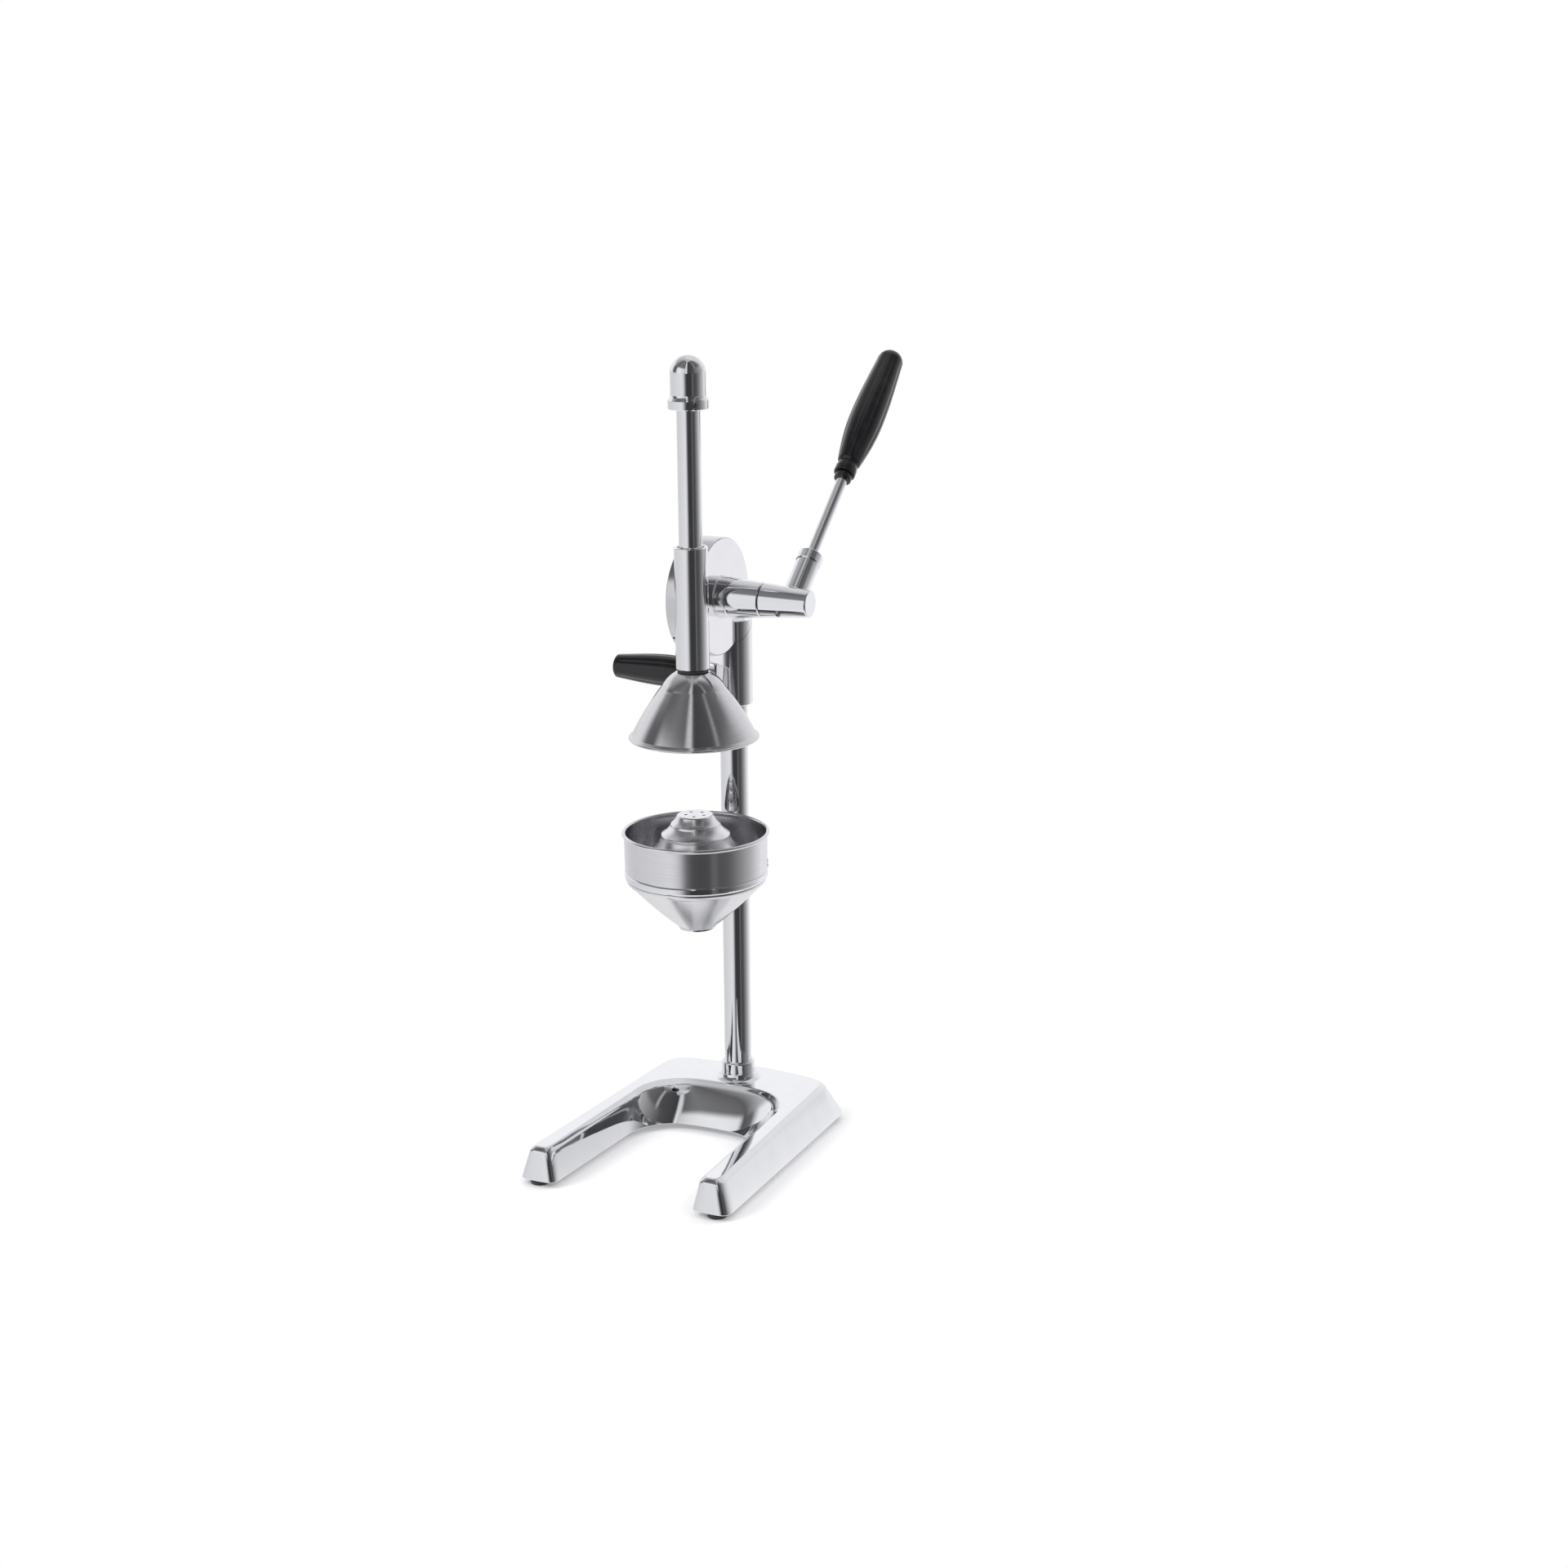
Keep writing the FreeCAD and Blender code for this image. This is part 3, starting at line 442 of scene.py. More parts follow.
@dataclass(frozen=True)
class MachinedSteel:
    """Turned or cut steel: tool lines about an axis under a thin film of oil."""

    name: str
    tone: Colour = (0.5, 0.5, 0.51)
    centre: Point = (0.0, 0.0, 0.0)
    turn: Point = (0.0, 0.0, 0.0)
    film: Colour = (0.2, 0.18, 0.15)

    def material(self) -> bpy.types.Material:
        """Build the material."""
        made, graph = new_material(self.name)
        space = object_space(graph, self.centre, self.turn)
        lines = grinding_lines(graph, space, Brushing.AROUND, 0.0004)
        patch = graph.noise(space, 150.0, 4.0).ease(0.45, 0.75)
        base = graph.blend(patch * 0.45 + lines * 0.15, self.tone, self.film)
        surface(graph, base, lines * 0.12 + patch * 0.1 + 0.2, lines, 0.35, 0.00004,
                {"Metallic": 1.0})
        return made


# ---------------------------------------------------------------- mesh kit


@dataclass
class Skin:
    """Points and faces that are gathered before they become one mesh."""

    points: list[np.ndarray] = field(default_factory=list)
    faces: list[list[int]] = field(default_factory=list)

    def add(self, points: np.ndarray, faces: list[list[int]]) -> None:
        """Append a surface.

        Args:
            points: Rows of x, y and z.
            faces: Faces that number these points from zero.
        """
        start = sum(len(p) for p in self.points)
        self.points.append(points)
        self.faces += [[start + i for i in face] for face in faces]

    def loops(self, rings: np.ndarray) -> None:
        """Skin a stack of closed rings: point (i, j) is joined to (i + 1, j) and (i, j + 1).

        Args:
            rings: Points as an array of ring, place around the ring, and x, y, z.
        """
        count, around = rings.shape[:2]
        self.add(rings.reshape(-1, 3), grid_faces(count, around))

    def piece(self, name: str, material: bpy.types.Material, axes: Matrix) -> bpy.types.Object:
        """Make the object, with its place in its mesh.

        Args:
            name: The piece's name.
            material: Its finish.
            axes: The matrix that carries the gathered points to their place.

        Returns:
            The new object, closed and with its faces outward.
        """
        points = np.concatenate(self.points)
        placed = points @ np.array(axes.to_3x3()).T + np.array(axes.translation)
        mesh = bpy.data.meshes.new(name)
        mesh.from_pydata(placed.tolist(), [], self.faces)
        work = bmesh.new()
        work.from_mesh(mesh)
        bmesh.ops.remove_doubles(work, verts=work.verts, dist=1e-7)
        bmesh.ops.recalc_face_normals(work, faces=work.faces)
        work.to_mesh(mesh)
        work.free()
        mesh.polygons.foreach_set("use_smooth", np.ones(len(mesh.polygons), bool))
        mesh.materials.append(material)
        made = bpy.data.objects.new(name, mesh)
        bpy.context.scene.collection.objects.link(made)
        return made


def grid_faces(count: int, around: int) -> list[list[int]]:
    """Number the four-sided faces of a grid that closes on itself in its second direction.

    Args:
        count: Rings.
        around: Points in a ring.

    Returns:
        The faces.
    """
    rows = np.arange(count - 1)[:, None] * around
    places = np.arange(around)[None, :]
    after = (places + 1) % around
    corners = (rows + places, rows + after, rows + around + after, rows + around + places)
    return np.stack(corners, -1).reshape(-1, 4).tolist()


def rounded(corners: list[tuple[float, ...]], steps: int = 7) -> np.ndarray:
    """An open outline whose corners are rounded.

    A corner (r, z, radius) is replaced by the curve (1 - t)^2 a + 2 t (1 - t) c + t^2 b from
    the point a, which lies the radius before the corner c, to the point b after it.

    Args:
        corners: (r, z) or (r, z, radius) in millimetres.
        steps: Points on each rounding.

    Returns:
        Points as rows of r and z in metres.
    """
    plain = np.array([c[:2] for c in corners], float)
    parts = []
    t = np.linspace(0, 1, steps)[:, None]
    for i, corner in enumerate(corners):
        radius = corner[2] if len(corner) > 2 else 0.0
        if not radius or i in (0, len(corners) - 1):
            parts.append(plain[i:i + 1])
            continue
        here = plain[i]
        ends = []
        for other in (plain[i - 1], plain[i + 1]):
            way = other - here
            span = np.linalg.norm(way)
            ends.append(here + way * min(radius, span * 0.49) / span)
        parts.append((1 - t) ** 2 * ends[0] + 2 * t * (1 - t) * here + t ** 2 * ends[1])
    return np.concatenate(parts) * MM


def turned(profile: np.ndarray, turns: int,
           swell: Callable[[np.ndarray, np.ndarray], np.ndarray] | None = None) -> np.ndarray:
    """Turn an outline about z: point (i, j) = (r cos a, r sin a, z) with a = 2 pi j / turns.

    Args:
        profile: Rows of r and z.
        turns: Points around.
        swell: A factor on r for each row and angle.

    Returns:
        Rings of points.
    """
    angle = np.arange(turns) * (2 * math.pi / turns)
    radius = np.repeat(profile[:, :1], turns, 1)
    if swell is not None:
        radius = radius * swell(profile[:, 1:2], angle[None, :])
    return np.stack([radius * np.cos(angle), radius * np.sin(angle),
                     np.repeat(profile[:, 1:2], turns, 1)], -1)


def arc(a: np.ndarray, b: np.ndarray, radius: float, count: int) -> np.ndarray:
    """Points from a up to b, b left out: a straight run, or the short arc of a radius.

    With c the centre, on the left of travel for a positive radius, a point is
    c + |radius| (cos s, sin s) with s going evenly from a's angle to b's.

    Args:
        a: The start.
        b: The end.
        radius: The signed radius, or 0 for a straight run.
        count: Points to make.

    Returns:
        Rows of x and y.
    """
    t = np.arange(count)[:, None] / count
    if not radius:
        return a + (b - a) * t
    along = b - a
    half = np.linalg.norm(along) / 2
    left = np.array([-along[1], along[0]]) / (2 * half)
    rise = math.sqrt(max(radius * radius - half * half, 0.0))
    centre = (a + b) / 2 + left * math.copysign(rise, radius)
    first = math.atan2(*(a - centre)[::-1])
    sweep = math.remainder(math.atan2(*(b - centre)[::-1]) - first, 2 * math.pi)
    s = first + sweep * t
    return centre + abs(radius) * np.concatenate([np.cos(s), np.sin(s)], 1)


def softened(loop: np.ndarray, reach: int) -> np.ndarray:
    """Round the corners of a closed loop: each point becomes a bell-weighted mean.

    Args:
        loop: Rows of x and y.
        reach: How many places away a point still counts.

    Returns:
        The rounded loop.
    """
    offsets = np.arange(-reach, reach + 1)
    weights = np.exp(-0.5 * (offsets / (reach / 2.2)) ** 2)
    weights /= weights.sum()
    return sum(w * np.roll(loop, o, axis=0) for w, o in zip(weights, offsets))


def axes_along(origin: Point, way: Point) -> Matrix:
    """The matrix that puts the z axis on a line.

    Args:
        origin: Where zero goes.
        way: The direction of the line.

    Returns:
        The placing matrix.
    """
    turn = Vector(way).to_track_quat("Z", "X").to_matrix().to_4x4()
    return Matrix.Translation(origin) @ turn


def middle(node: str) -> Point:
    """The centre of a CAD node's box.

    Args:
        node: The node's name.

    Returns:
        The point in metres.
    """
    low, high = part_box(node)
    return tuple((a + b) / 2 for a, b in zip(low, high))


def coat(material: bpy.types.Material, *nodes: str) -> None:
    """Give a finish to CAD nodes.

    Args:
        material: The finish.
        nodes: The nodes' names.
    """
    for node in nodes:
        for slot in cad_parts[node].material_slots:
            slot.material = material


def finish_piece(piece: bpy.types.Object, body: str, node: str) -> None:
    """Let a new piece ride on its body and stand for a CAD node.

    Args:
        piece: The new piece.
        body: The body that it moves with.
        node: The CAD node that it replaces.
    """
    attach(piece, body)
    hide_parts(node)
    log.info("%s rides on %s, %d faces", piece.name, body, len(piece.data.polygons))


# ---------------------------------------------------------------- sub-assemblies


@dataclass
class Stand:
    """The cast base, its boss, the column and the feet."""

    body: ClassVar[str] = "stand"
    foot_height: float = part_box("base_casting")[0][2] / MM
    deck_height: float = 34.0
    front: float = 216.0
    back: float = 31.0
    half_front: float = 90.0
    half_back: float = 79.0
    flare: float = 8.0
    leg_front: float = 70.0
    leg_back: float = 65.0
    gap_end: float = 25.0
    gap_slope: float = 34.0
    wall: float = 5.5
    bevel: float = 3.0
    boss_radius: float = 14.6
    column_radius: float = 12.0
    boss_top: float = 50.0
    socket_low: float = 20.0
    socket_fit: float = 0.05
    boss_flare: float = 7.0
    feet: tuple[tuple[float, float], ...] = ((83, -209), (-83, -209), (79, 16), (-79, 16))
    pad_radius: float = 6.5
    pad_height: float = 12.0
    gap_flat: float = 26.0
    gap_corner: float = 44.0
    gap_bow: float = 260.0
    back_step: float = 21.0
    back_corner: float = 14.0
    back_bow: float = 320.0
    half_points: int = 420
    front_points: int = 22
    softening: int = 10

    def outline(self, grow: float, inset: float) -> np.ndarray:
        """The base's closed outline at one level: a flat front on each leg, a bowed back and a
        rounded gap.

        Each run or arc between two corners has a fixed count of points, so that levels join
        point to point, and the whole loop is softened.

        Args:
            grow: How far out the draft is, 1 at the foot and 0 at the deck.
            inset: The distance inward.

        Returns:
            Rows of x and y in millimetres.
        """
        front = self.front + 4 * grow
        back = self.back + self.flare * grow
        wide = self.half_front + self.flare * grow - inset
        rear = self.half_back + (self.flare + 6) * grow - inset
        inner = self.leg_front - 6 * grow + inset
        deep = self.leg_back - 7 * grow
        end = self.gap_end + self.gap_slope * grow
        flat, near = self.gap_flat, -(front - inset)
        turn_at = end + (deep - flat) * 1.2
        step = back - self.back_step
        side = rear - self.back_corner
        bend = self.back_corner + 0.5
        crest = back - self.back_step / 3 - inset * 0.5
        gap = [(-inner, near, 0.0), (-(deep + inset), -turn_at, 0.0),
               (-flat, -(end - inset), -self.gap_corner), (flat, -(end - inset), -self.gap_bow),
               (deep + inset, -turn_at, -self.gap_corner), (inner, near, 0.0)]
        outer = [(wide, near, 0.0), (rear, step, 0.0), (side, crest, bend),
                 (-side, crest, self.back_bow), (-rear, step, bend), (-wide, near, 0.0)]
        shares = ((0.33, 0.125, 0.09, 0.125, 0.33), (0.365, 0.035, 0.2, 0.035, 0.365))
        runs = []
        for half, share, follow in zip((gap, outer), shares, (outer, gap)):
            counts = [int(round(s * self.half_points)) for s in share]
            counts[2] += self.half_points - sum(counts)
            for (here, there), count in zip(zip(half, half[1:]), counts):
                runs.append(arc(np.array(here[:2]), np.array(there[:2]), there[2], count))
            runs.append(arc(np.array(half[-1][:2]), np.array(follow[0][:2]), 0.0,
                            self.front_points))
        return softened(np.concatenate(runs), self.softening)

    def shell(self) -> Skin:
        """Skin the casting inside and out.

        The rings follow the wall's section: up the drafted side, over the softened bevel and
        onto the deck outside, then under the rim and up inside to the ceiling.  The last ring
        of each is closed by strips from the gap's side to the outer side.

        Returns:
            The gathered surface.
        """
        low, deck = self.foot_height, self.deck_height
        edge = deck - self.bevel
        section = rounded([(0, low + 1), (0, edge, 1.3), (self.bevel, deck, 1.3),
                           (self.bevel + 9, deck)], 6) / MM
        outer = [(1.0, 0.6, low), (1.0, 0.15, low + 0.2), (1.0, 0.0, low + 0.8)]
        outer += [(1 - 0.92 * (z - low) / (edge - low), inset, z)
                  for inset, z in section[1:-1]]
        outer = [(max(g, 0.0), inset, z) for g, inset, z in outer]
        under = [(1.0, 0.6, low), (1.0, self.wall, low), (0.2, self.wall, deck - 7)]
        made = Skin()
        for levels in (outer, under):
            rings = []
            for grow, inset, z in levels:
                loop = self.outline(grow, inset)
                rings.append(np.column_stack([loop, np.full(len(loop), z)]))
            made.loops(np.stack(rings) * MM)
            made.add(rings[-1] * MM, self.lid(len(rings[-1])))
        return made

    def lid(self, total: int) -> list[list[int]]:
        """Number the strips between the gap's side of a ring and its outer side.

        Args:
            total: Points in the ring.

        Returns:
            The faces.
        """
        half, tip = self.half_points, self.front_points
        gap = np.arange(half + 1)
        outer = (total - tip - gap) % total
        strips = np.stack([gap[:-1], gap[1:], outer[1:], outer[:-1]], -1).tolist()
        left = [0, *range(total - 1, total - tip - 1, -1)]
        right = list(range(half, half + tip + 1))
        return strips + [left, right]

    def boss(self) -> np.ndarray:
        """The closed section of the column's boss, flaring into the deck.

        Returns:
            Rows of r and z in metres.
        """
        top, low, deck = self.boss_top, self.foot_height, self.deck_height
        tight, seat = self.column_radius + self.socket_fit, self.socket_low
        flare = [(self.boss_radius + self.boss_flare * (1 - math.sin(a)),
                  deck - 0.1 + self.boss_flare * (1 - math.cos(a)))
                 for a in np.linspace(0, QUARTER_TURN, 12)]
        corners = [(13, low), (19.6, low), (19.6, deck - 2), (22.5, deck - 0.4)]
        corners += [*flare, (self.boss_radius, top, 1.4), (tight, top, 0.2), (tight, seat),
                    (5.5, seat), (5.5, 14), (13, 14), (13, low)]
        return rounded(corners, 6)

    def build(self, chrome: bpy.types.Material) -> None:
        """Make the casting that stands for the CAD base.

        Args:
            chrome: The plated finish.
        """
        skin = self.shell()
        skin.loops(turned(self.boss(), 96))
        low, top, wide = self.foot_height, self.foot_height + self.pad_height, self.pad_radius
        pad = turned(rounded([(0.01, low), (wide, low, 0.6), (wide, top), (0.01, top)]), 40)
        for x, y in self.feet:
            skin.loops(pad + np.array([x, y, 0.0]) * MM)
        piece = skin.piece("base_shell", chrome, Matrix.Identity(4))
        finish_piece(piece, self.body, "base_casting")

    def dress(self) -> None:
        """Give the stand its finishes."""
        column = middle("column")
        self.build(MirrorChrome("cast_chrome", wave=0.6, swell=22.0).material())
        bar = MirrorChrome("column_chrome", centre=column, wave=0.1, lines=0.002)
        coat(bar.material(), "column", "column_cap")
        zinc = MachinedSteel("zinc_steel", tone=(0.62, 0.62, 0.63), film=(0.34, 0.34, 0.36))
        coat(zinc.material(), "column_bolt", "column_washer", "column_insert", "foot_screws",
             "lock_screw")
        coat(FootRubber("foot_rubber").material(), "rubber_feet", "centre_foot")


class CupCarrier:
    """The sliding ring with its funnel and locking knob."""

    def dress(self) -> None:
        """Give the carrier its finishes."""
        axis = middle("funnel")
        coat(MirrorChrome("ring_chrome", centre=axis, wave=0.15, lines=0.004,
                          gloss=0.07).material(), "ring_bracket")
        coat(BrushedSteel("funnel_steel", centre=axis, tone=(0.84, 0.84, 0.86), rough=0.2,
                          stretch=0.75).material(), "funnel")
        knob, back = middle("ring_knob"), (-QUARTER_TURN, 0.0, 0.0)
        coat(MouldedGrip("ring_knob_black", centre=knob, turn=back).material(), "ring_knob")
        coat(MachinedSteel("ring_screw_steel", centre=knob, turn=back).material(),
             "ring_screw")
        log.info("carrier dressed")


class Strainer:
    """The lift-out bowl with its reamer."""

    def dress(self) -> None:
        """Give the strainer its finishes."""
        axis = middle("strainer_bowl")
        coat(BrushedSteel("bowl_steel", centre=axis, tone=(0.80, 0.80, 0.82), rough=0.22,
                          stretch=0.5, relief=0.2).material(), "strainer_bowl")
        coat(BrushedSteel("reamer_steel", centre=axis, tone=(0.88, 0.88, 0.90), rough=0.26,
                          stretch=0.2, relief=0.1).material(), "reamer")
        log.info("strainer dressed")


class Head:
    """The drum with its rack-and-pinion bearings and guide tube."""

    def dress(self) -> None:
        """Give the head its finishes."""
        shaft = middle("pinion_shaft")
        across = (0.0, QUARTER_TURN, 0.0)
        coat(MirrorChrome("drum_satin", tone=(0.87, 0.87, 0.89), centre=shaft, turn=across,
                          wave=0.08, gloss=0.07, lines=0.004,
                          rim=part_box("gear_case")[1][2] - shaft[2]).material(), "gear_case")
        coat(MirrorChrome("housing_chrome", centre=shaft, turn=across, wave=0.05,
                          gloss=0.05, lines=0.01).material(), "bearing_housing")
        coat(BrushedSteel("cover_steel", centre=shaft, turn=across, tone=(0.7, 0.7, 0.72),
                          rough=0.25, stretch=0.0).material(), "case_cover")
        coat(MirrorChrome("guide_chrome", centre=middle("guide_tube"), wave=0.06,
                          gloss=0.06, lines=0.008).material(), "guide_tube")
        coat(SinteredBronze("bush_bronze").material(), "outer_bush", "inner_bush",
             "lower_bush", "upper_bush")
        coat(MachinedSteel("cover_screw_steel", centre=shaft, turn=across).material(),
             "cover_screws")
        log.info("head dressed")


@dataclass
class Grip:
    """A swelling moulded grip with lengthwise flutes, a neck ring and a closed tip."""

    name: str
    start: float
    end: float
    radius: float
    bore: float
    tip: Tip
    flutes: int
    depth: float
    neck_share: float = 0.62
    tip_share: float = 0.76
    widest: float = 0.44

    def outline(self) -> np.ndarray:
        """The grip's outline from the bore's mouth to the tip.

        The flank is an arched curve: r = neck + (radius - neck) sin(pi s / 2)^0.92 up to the
        widest place, and a cosine fall to the tip beyond it.

        Returns:
            Rows of r and z in metres.
        """
        span, neck = self.end - self.start, self.radius * self.neck_share
        z = self.start
        head = [(self.bore, z + 6), (self.bore, z), (neck, z, 1.2), (neck, z + span * 0.05, 0.8),
                (neck - 1.3, z + span * 0.062, 0.8), (neck - 1.3, z + span * 0.08, 0.8),
                (neck + 0.6, z + span * 0.095, 0.8)]
        wide, last = self.widest, self.radius * self.tip_share
        s = np.linspace(0.0, 1.0, 22)[1:]
        rise = [(neck + 0.6 + (self.radius - neck - 0.6) * math.sin(math.pi * k / 2) ** 0.92,
                 z + span * (0.095 + (wide - 0.095) * k)) for k in s]
        if self.tip is Tip.FLAT:
            fall = [(last + (self.radius - last) * math.cos(math.pi * k / 2) ** 1.2,
                     z + span * (wide + (0.96 - wide) * k)) for k in s[:-1]]
            fall += [(last - 0.3, self.end - 1.2, 1.2), (last - 2.2, self.end, 1.6),
                     (0.02, self.end)]
        else:
            shut = span * 0.075
            fall = [(last + (self.radius - last) * math.cos(math.pi * k / 2) ** 1.1,
                     z + span * (wide + (0.925 - wide) * k)) for k in s[:-1]]
            fall += [(last * max(math.cos(k), 0.002) ** 0.85,
                      self.end - shut + shut * math.sin(k))
                     for k in np.linspace(0, QUARTER_TURN, 14)]
        return rounded([*head, *rise, *fall], 5)

    def swell(self, z: np.ndarray, angle: np.ndarray) -> np.ndarray:
        """The flutes: 1 - depth * fade(z) * (1 - |sin(n a / 2)|)^1.6, faded out at both ends.

        Args:
            z: Places along the grip in metres.
            angle: Angles around it.

        Returns:
            The factor on the radius.
        """
        along = (z / MM - self.start) / (self.end - self.start)
        fade = np.clip((along - 0.11) / 0.14, 0, 1) * np.clip((0.985 - along) / 0.1, 0, 1)
        fade = fade * fade * (3 - 2 * fade)
        groove = (1 - np.abs(np.sin(self.flutes * angle / 2))) ** 1.6
        return 1 - self.depth * fade * groove

    def build(self, body: str, axes: Matrix) -> None:
        """Make the grip.

        Args:
            body: The body that it rides on.
            axes: The grip's own axes.
        """
        skin = Skin()
        skin.loops(turned(self.outline(), self.flutes * 16, self.swell))
        turn = tuple(axes.to_euler())
        finish = MouldedGrip(f"{self.name}_black", centre=tuple(axes.translation), turn=turn)
        piece = skin.piece(f"{self.name}_moulding", finish.material(), axes)
        finish_piece(piece, body, self.name)


@dataclass
class Clamp:
    """The handle that locks the head on the column."""

    body: ClassVar[str] = "clamp"

    def dress(self) -> None:
        """Build the grip and give the rest its finishes."""
        stud = middle("clamp_stud")
        axes = axes_along((0.0, stud[1], stud[2]), (-1.0, 0.0, 0.0))
        Grip("clamp_grip", 26.0, 113.0, 13.9, 4.05, Tip.FLAT, 8, 0.06).build(self.body, axes)
        across = (0.0, -QUARTER_TURN, 0.0)
        coat(MirrorChrome("clamp_chrome", centre=stud, turn=across).material(), "clamp_ferrule")
        coat(MachinedSteel("clamp_steel", centre=stud, turn=across).material(), "clamp_stud")


@dataclass
class Lever:
    """The lever with its head, rod and grip, and the pinion on its shaft."""

    body: ClassVar[str] = "lever"

    def dress(self) -> None:
        """Build the grip and give the rest its finishes."""
        shaft = middle("pinion_shaft")
        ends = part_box("lever_rod")
        rise = math.atan2(ends[1][2] - shaft[2], ends[1][1] - shaft[1])
        way = (0.0, math.cos(rise), math.sin(rise))
        pivot = (middle("lever_rod")[0], shaft[1], shaft[2])
        axes = axes_along(pivot, way)
        Grip("lever_grip", 140.0, 280.0, 15.0, 4.85, Tip.ROUNDED, 8, 0.05).build(
            self.body, axes)
        turn = tuple(axes.to_euler())
        across = (0.0, QUARTER_TURN, 0.0)
        coat(MirrorChrome("lever_chrome", centre=pivot, turn=turn, wave=0.06,
                          lines=0.004, gloss=0.05).material(),
             "lever_collar", "lever_rod")
        coat(MouldedGrip("ferrule_black", centre=pivot, turn=turn).material(),
             "lever_ferrule")
        coat(MirrorChrome("lever_head_chrome", centre=shaft, turn=across, wave=0.06,
                          gloss=0.05, lines=0.006).material(), "lever_head")
        coat(MachinedSteel("gear_steel", centre=shaft, turn=across).material(),
             "pinion_gear", "pinion_shaft", "head_screw")
        coat(BrushedSteel("shaft_cap_steel", centre=shaft, turn=across,
                          stretch=0.0).material(), "shaft_cap")


class Press:
    """The toothed rod with its cap and the squeezing cone."""

    def dress(self) -> None:
        """Give the press its finishes."""
        axis = middle("press_rod")
        coat(MirrorChrome("rod_chrome", centre=axis, wave=0.05, lines=0.006,
                          gloss=0.05).material(), "press_rod", "rod_cap")
        coat(BrushedSteel("cone_steel", centre=axis, tone=(0.74, 0.74, 0.76), rough=0.16,
                          stretch=0.75).material(), "press_cone")
        coat(MachinedSteel("cone_screw_steel", centre=axis).material(), "cone_washer",
             "cone_screw", "cap_screw")
        coat(FootRubber("bumper_rubber").material(), "bumper_ring")
        log.info("press dressed")


# ---------------------------------------------------------------- studio


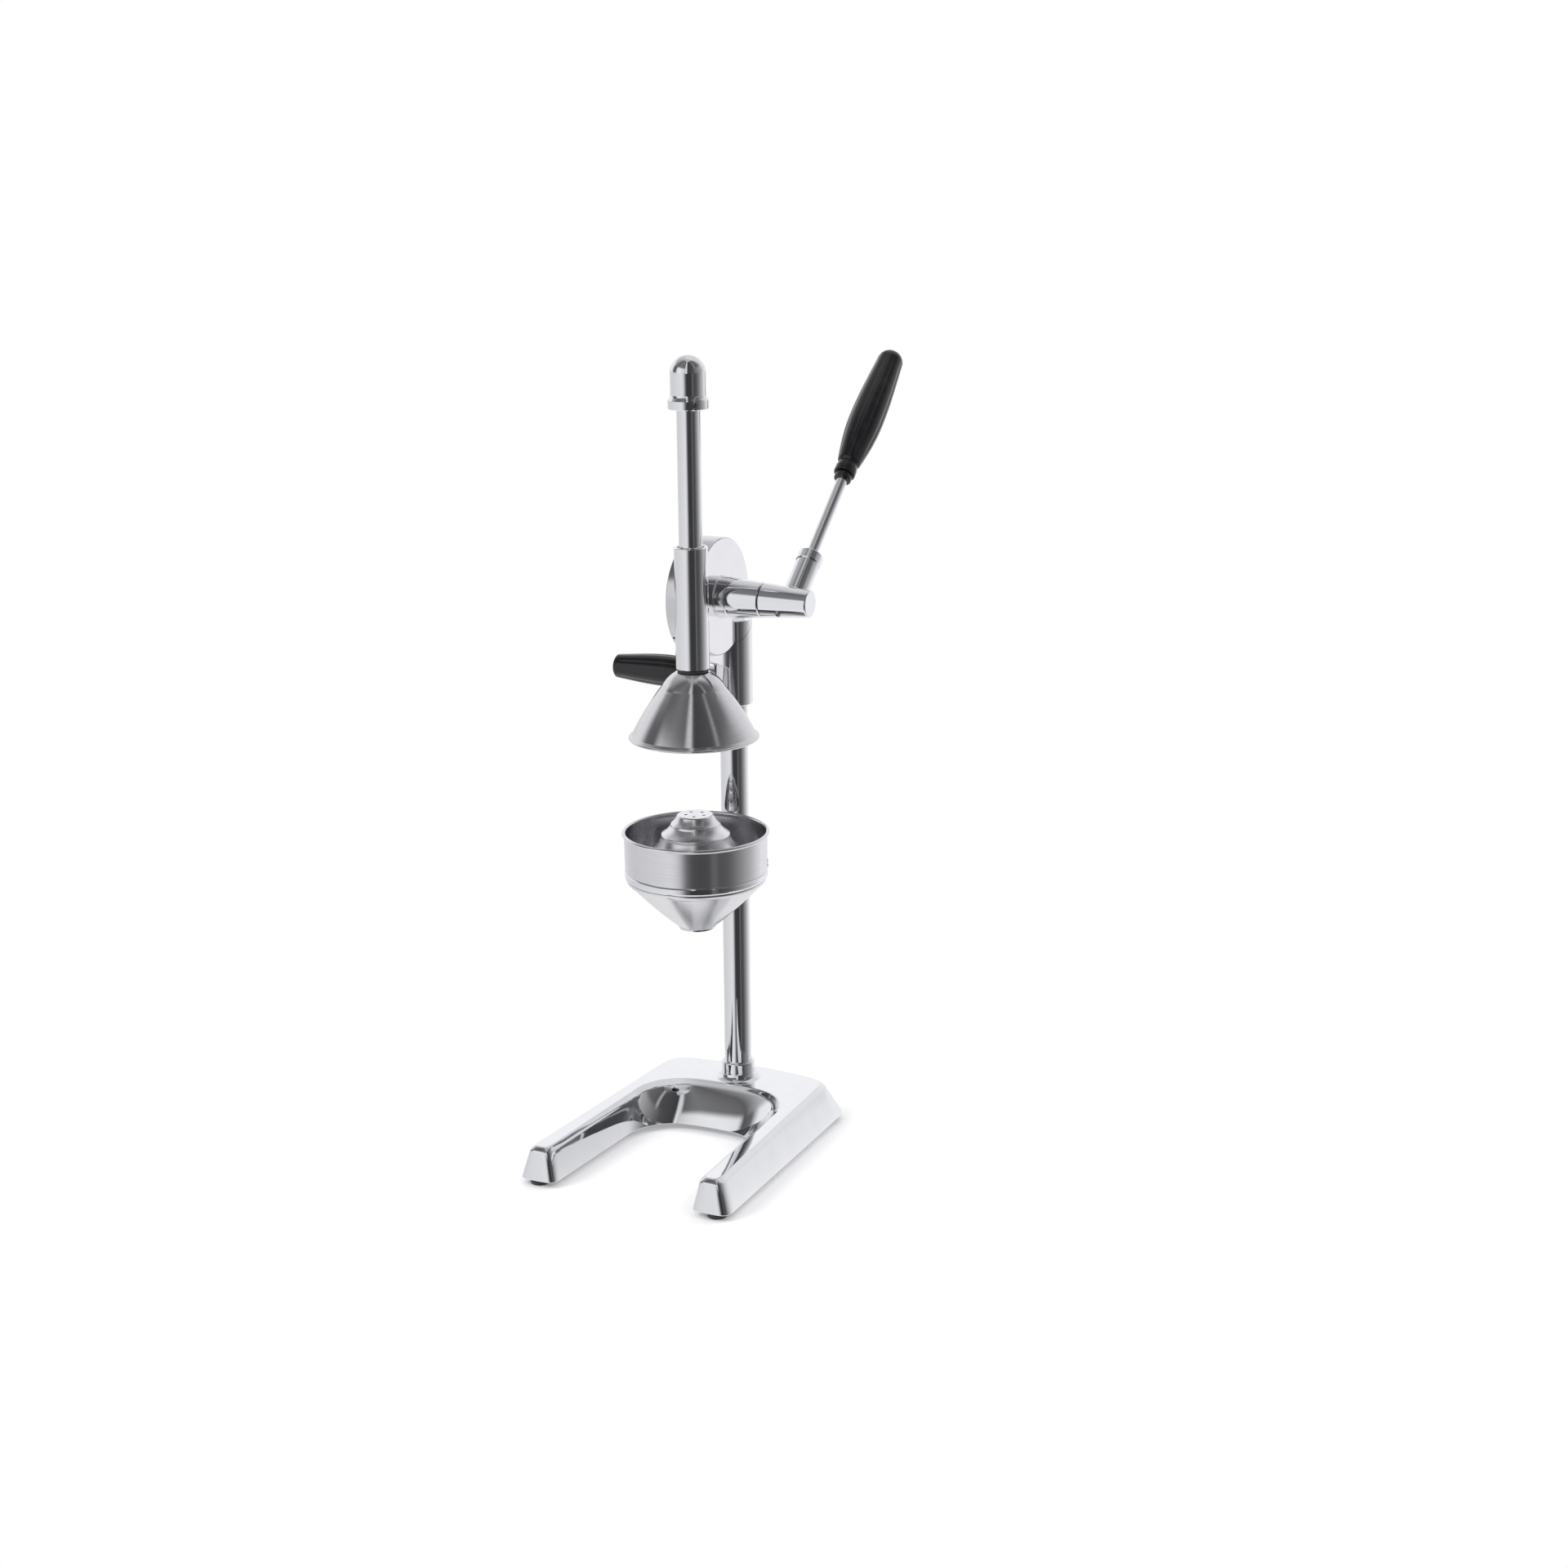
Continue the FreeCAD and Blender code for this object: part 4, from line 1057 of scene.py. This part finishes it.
@dataclass
class Studio:
    """The camera, the pale floor and the soft light around the press."""

    place: Point = (1.005, -2.0179, 0.9185)
    azimuth: float = math.radians(25.39)
    elevation: float = math.radians(15.27)
    roll: float = math.radians(0.46)
    lens: float = 61.98
    floor_radius: float = 0.62
    floor_rings: int = 24
    floor_spokes: int = 96
    floor_shift: float = -0.06
    # brightness seen in the metal by direction: degrees from the camera, positive to its right,
    # first below the horizon, then just above it, then high up
    low_bands: tuple[tuple[float, float], ...] = (
        (-180, 0.85), (-120, 0.7), (-60, 0.78), (-38, 0.84), (-26, 0.66), (-15, 0.14),
        (-6, 0.04), (24, 0.045), (28, 0.13), (34, 0.13), (39, 0.06), (58, 0.1), (75, 0.24),
        (100, 0.5), (130, 0.95), (180, 0.85))
    mid_bands: tuple[tuple[float, float], ...] = (
        (-180, 1.0), (-120, 0.9), (-104, 0.14), (-84, 0.1), (-72, 0.8), (-55, 0.92),
        (-30, 0.72), (-12, 0.6), (-6, 0.9), (-1, 0.12), (3, 0.05), (35, 0.08), (60, 0.2),
        (95, 0.4), (125, 0.8), (180, 1.0))
    high_bands: tuple[tuple[float, float], ...] = (
        (-180, 0.75), (-120, 0.45), (-85, 0.12), (-50, 0.2), (-20, 0.13), (-12, 0.7),
        (-5, 0.7), (0, 0.05), (30, 0.07), (46, 0.08), (52, 0.45), (58, 0.1), (90, 0.16),
        (120, 0.7), (180, 0.75))

    def camera(self) -> None:
        """Stand the camera where its back axis is
        (sin az cos el, -cos az cos el, sin el), rolled about that axis."""
        a, e, r = self.azimuth, self.elevation, self.roll
        back = Vector((math.sin(a) * math.cos(e), -math.cos(a) * math.cos(e), math.sin(e)))
        level = Vector((math.cos(a), math.sin(a), 0.0))
        upright = back.cross(level)
        right = level * math.cos(r) - upright * math.sin(r)
        up = level * math.sin(r) + upright * math.cos(r)
        data = bpy.data.cameras.new("camera")
        data.lens, data.sensor_width = self.lens, 36.0
        data.clip_start, data.clip_end = 0.05, 30.0
        made = bpy.data.objects.new("camera", data)
        turn = Matrix((right, up, back)).transposed()
        made.matrix_world = Matrix.Translation(self.place) @ turn.to_4x4()
        bpy.context.scene.collection.objects.link(made)
        bpy.context.scene.camera = made

    def floor(self) -> None:
        """Lay a pale disc that fades out: point (i, j) = r (cos a, sin a) with r growing in
        rings and a going once around."""
        count, around = self.floor_rings, self.floor_spokes
        rings = np.linspace(0.001, self.floor_radius, count)
        angle = np.arange(around) * (2 * math.pi / around)
        points = np.stack([rings[:, None] * np.cos(angle), rings[:, None] * np.sin(angle),
                           np.zeros((count, around))], -1).reshape(-1, 3)
        mesh = bpy.data.meshes.new("floor")
        mesh.from_pydata(points.tolist(), [], [f[::-1] for f in grid_faces(count, around)]
                         + [list(range(around))])
        material, graph = new_material("floor_pale")
        space = object_space(graph, (0.0, 0.0, 0.0))
        x, y, _ = graph.separate(space)
        far = (x * x + y * y) ** 0.5
        alpha = far.ease(self.floor_radius * 0.45, self.floor_radius * 0.97, 1.0, 0.0)
        cloud = graph.noise(space, 6.0)
        base = graph.blend(cloud * 0.3, (0.93, 0.93, 0.935), (0.9, 0.9, 0.905))
        shader = graph.node("ShaderNodeBsdfPrincipled", None, {
            "Base Color": base, "Roughness": 0.85, "Alpha": alpha,
            "Specular IOR Level": 0.1})
        graph.node("ShaderNodeOutputMaterial", None, {"Surface": shader})
        mesh.materials.append(material)
        made = bpy.data.objects.new("floor", mesh)
        mesh.transform(Matrix.Translation((0.0, self.floor_shift, 0.0)))
        bpy.context.scene.collection.objects.link(made)
        made.visible_glossy = False

    def world(self) -> None:
        """Surround the press with soft bands of light: three ramps are read at the direction's
        angle from the camera's azimuth and blended by its height, which is dimmer overhead."""
        made = bpy.data.worlds.new("studio")
        bpy.context.scene.world = made
        made.use_nodes = True
        graph = Graph(made.node_tree)
        way = graph.node("ShaderNodeTexCoord", None, None, "Generated")
        seen = graph.node("ShaderNodeMapping", {"vector_type": "VECTOR"},
                          {"Vector": way, "Rotation": (0.0, 0.0, -self.azimuth)})
        x, y, z = graph.separate(seen)
        turn = x.maths("ARCTAN2", x, y * -1.0) / (2 * math.pi) + 0.5
        low, mid, high = (graph.node("ShaderNodeValToRGB", {"stops": [
            (0.5 + a / 360, (v, v, v * 1.02)) for a, v in bands]}, {0: turn})
            for bands in (self.low_bands, self.mid_bands, self.high_bands))
        banded = graph.blend(z.ease(-0.06, 0.1), low, mid)
        banded = graph.blend(z.ease(0.42, 0.62), banded, high)
        banded = graph.blend(z.ease(0.965, 0.995), banded, (0.5, 0.5, 0.51))
        banded = graph.blend((z * -1.0).ease(0.5, 0.8), banded, (0.88, 0.88, 0.89))
        rays = graph.node("ShaderNodeLightPath", None, None, "Is Camera Ray")
        glossy = graph.node("ShaderNodeLightPath", None, None, "Is Glossy Ray")
        even = graph.blend(glossy, (1.06, 1.06, 1.07), banded)
        shown = graph.blend(rays, even, (1.0, 1.0, 1.0))
        light = graph.node("ShaderNodeBackground", None, {"Color": shown, "Strength": 1.0})
        graph.node("ShaderNodeOutputWorld", None, {"Surface": light})

    def lamps(self) -> None:
        """Hang two soft panels, one over the camera's left and one behind to its right."""
        for name, place, power, width in (("key", (-1.1, -1.5, 1.7), 16.0, 0.9),
                                          ("rim", (1.3, 1.2, 1.3), 8.0, 0.7)):
            data = bpy.data.lights.new(name, "AREA")
            data.shape, data.size, data.energy = "DISK", width, power
            lamp = bpy.data.objects.new(name, data)
            aim = Vector((0.0, -0.05, 0.3)) - Vector(place)
            lamp.matrix_world = (Matrix.Translation(place)
                                 @ aim.to_track_quat("-Z", "Y").to_matrix().to_4x4())
            lamp.visible_glossy = False
            bpy.context.scene.collection.objects.link(lamp)

    def dress(self) -> None:
        """Set up the whole studio."""
        self.camera()
        self.floor()
        self.world()
        self.lamps()
        bpy.context.scene.view_settings.view_transform = "Standard"
        log.info("studio ready")


def main() -> None:
    """Build and dress every sub-assembly, then the studio."""
    logging.basicConfig(level=logging.INFO, format="%(name)s: %(message)s")
    for part in (Stand(), CupCarrier(), Strainer(), Head(), Clamp(), Lever(), Press()):
        part.dress()
    Studio().dress()


if __name__ == "__main__":
    main()
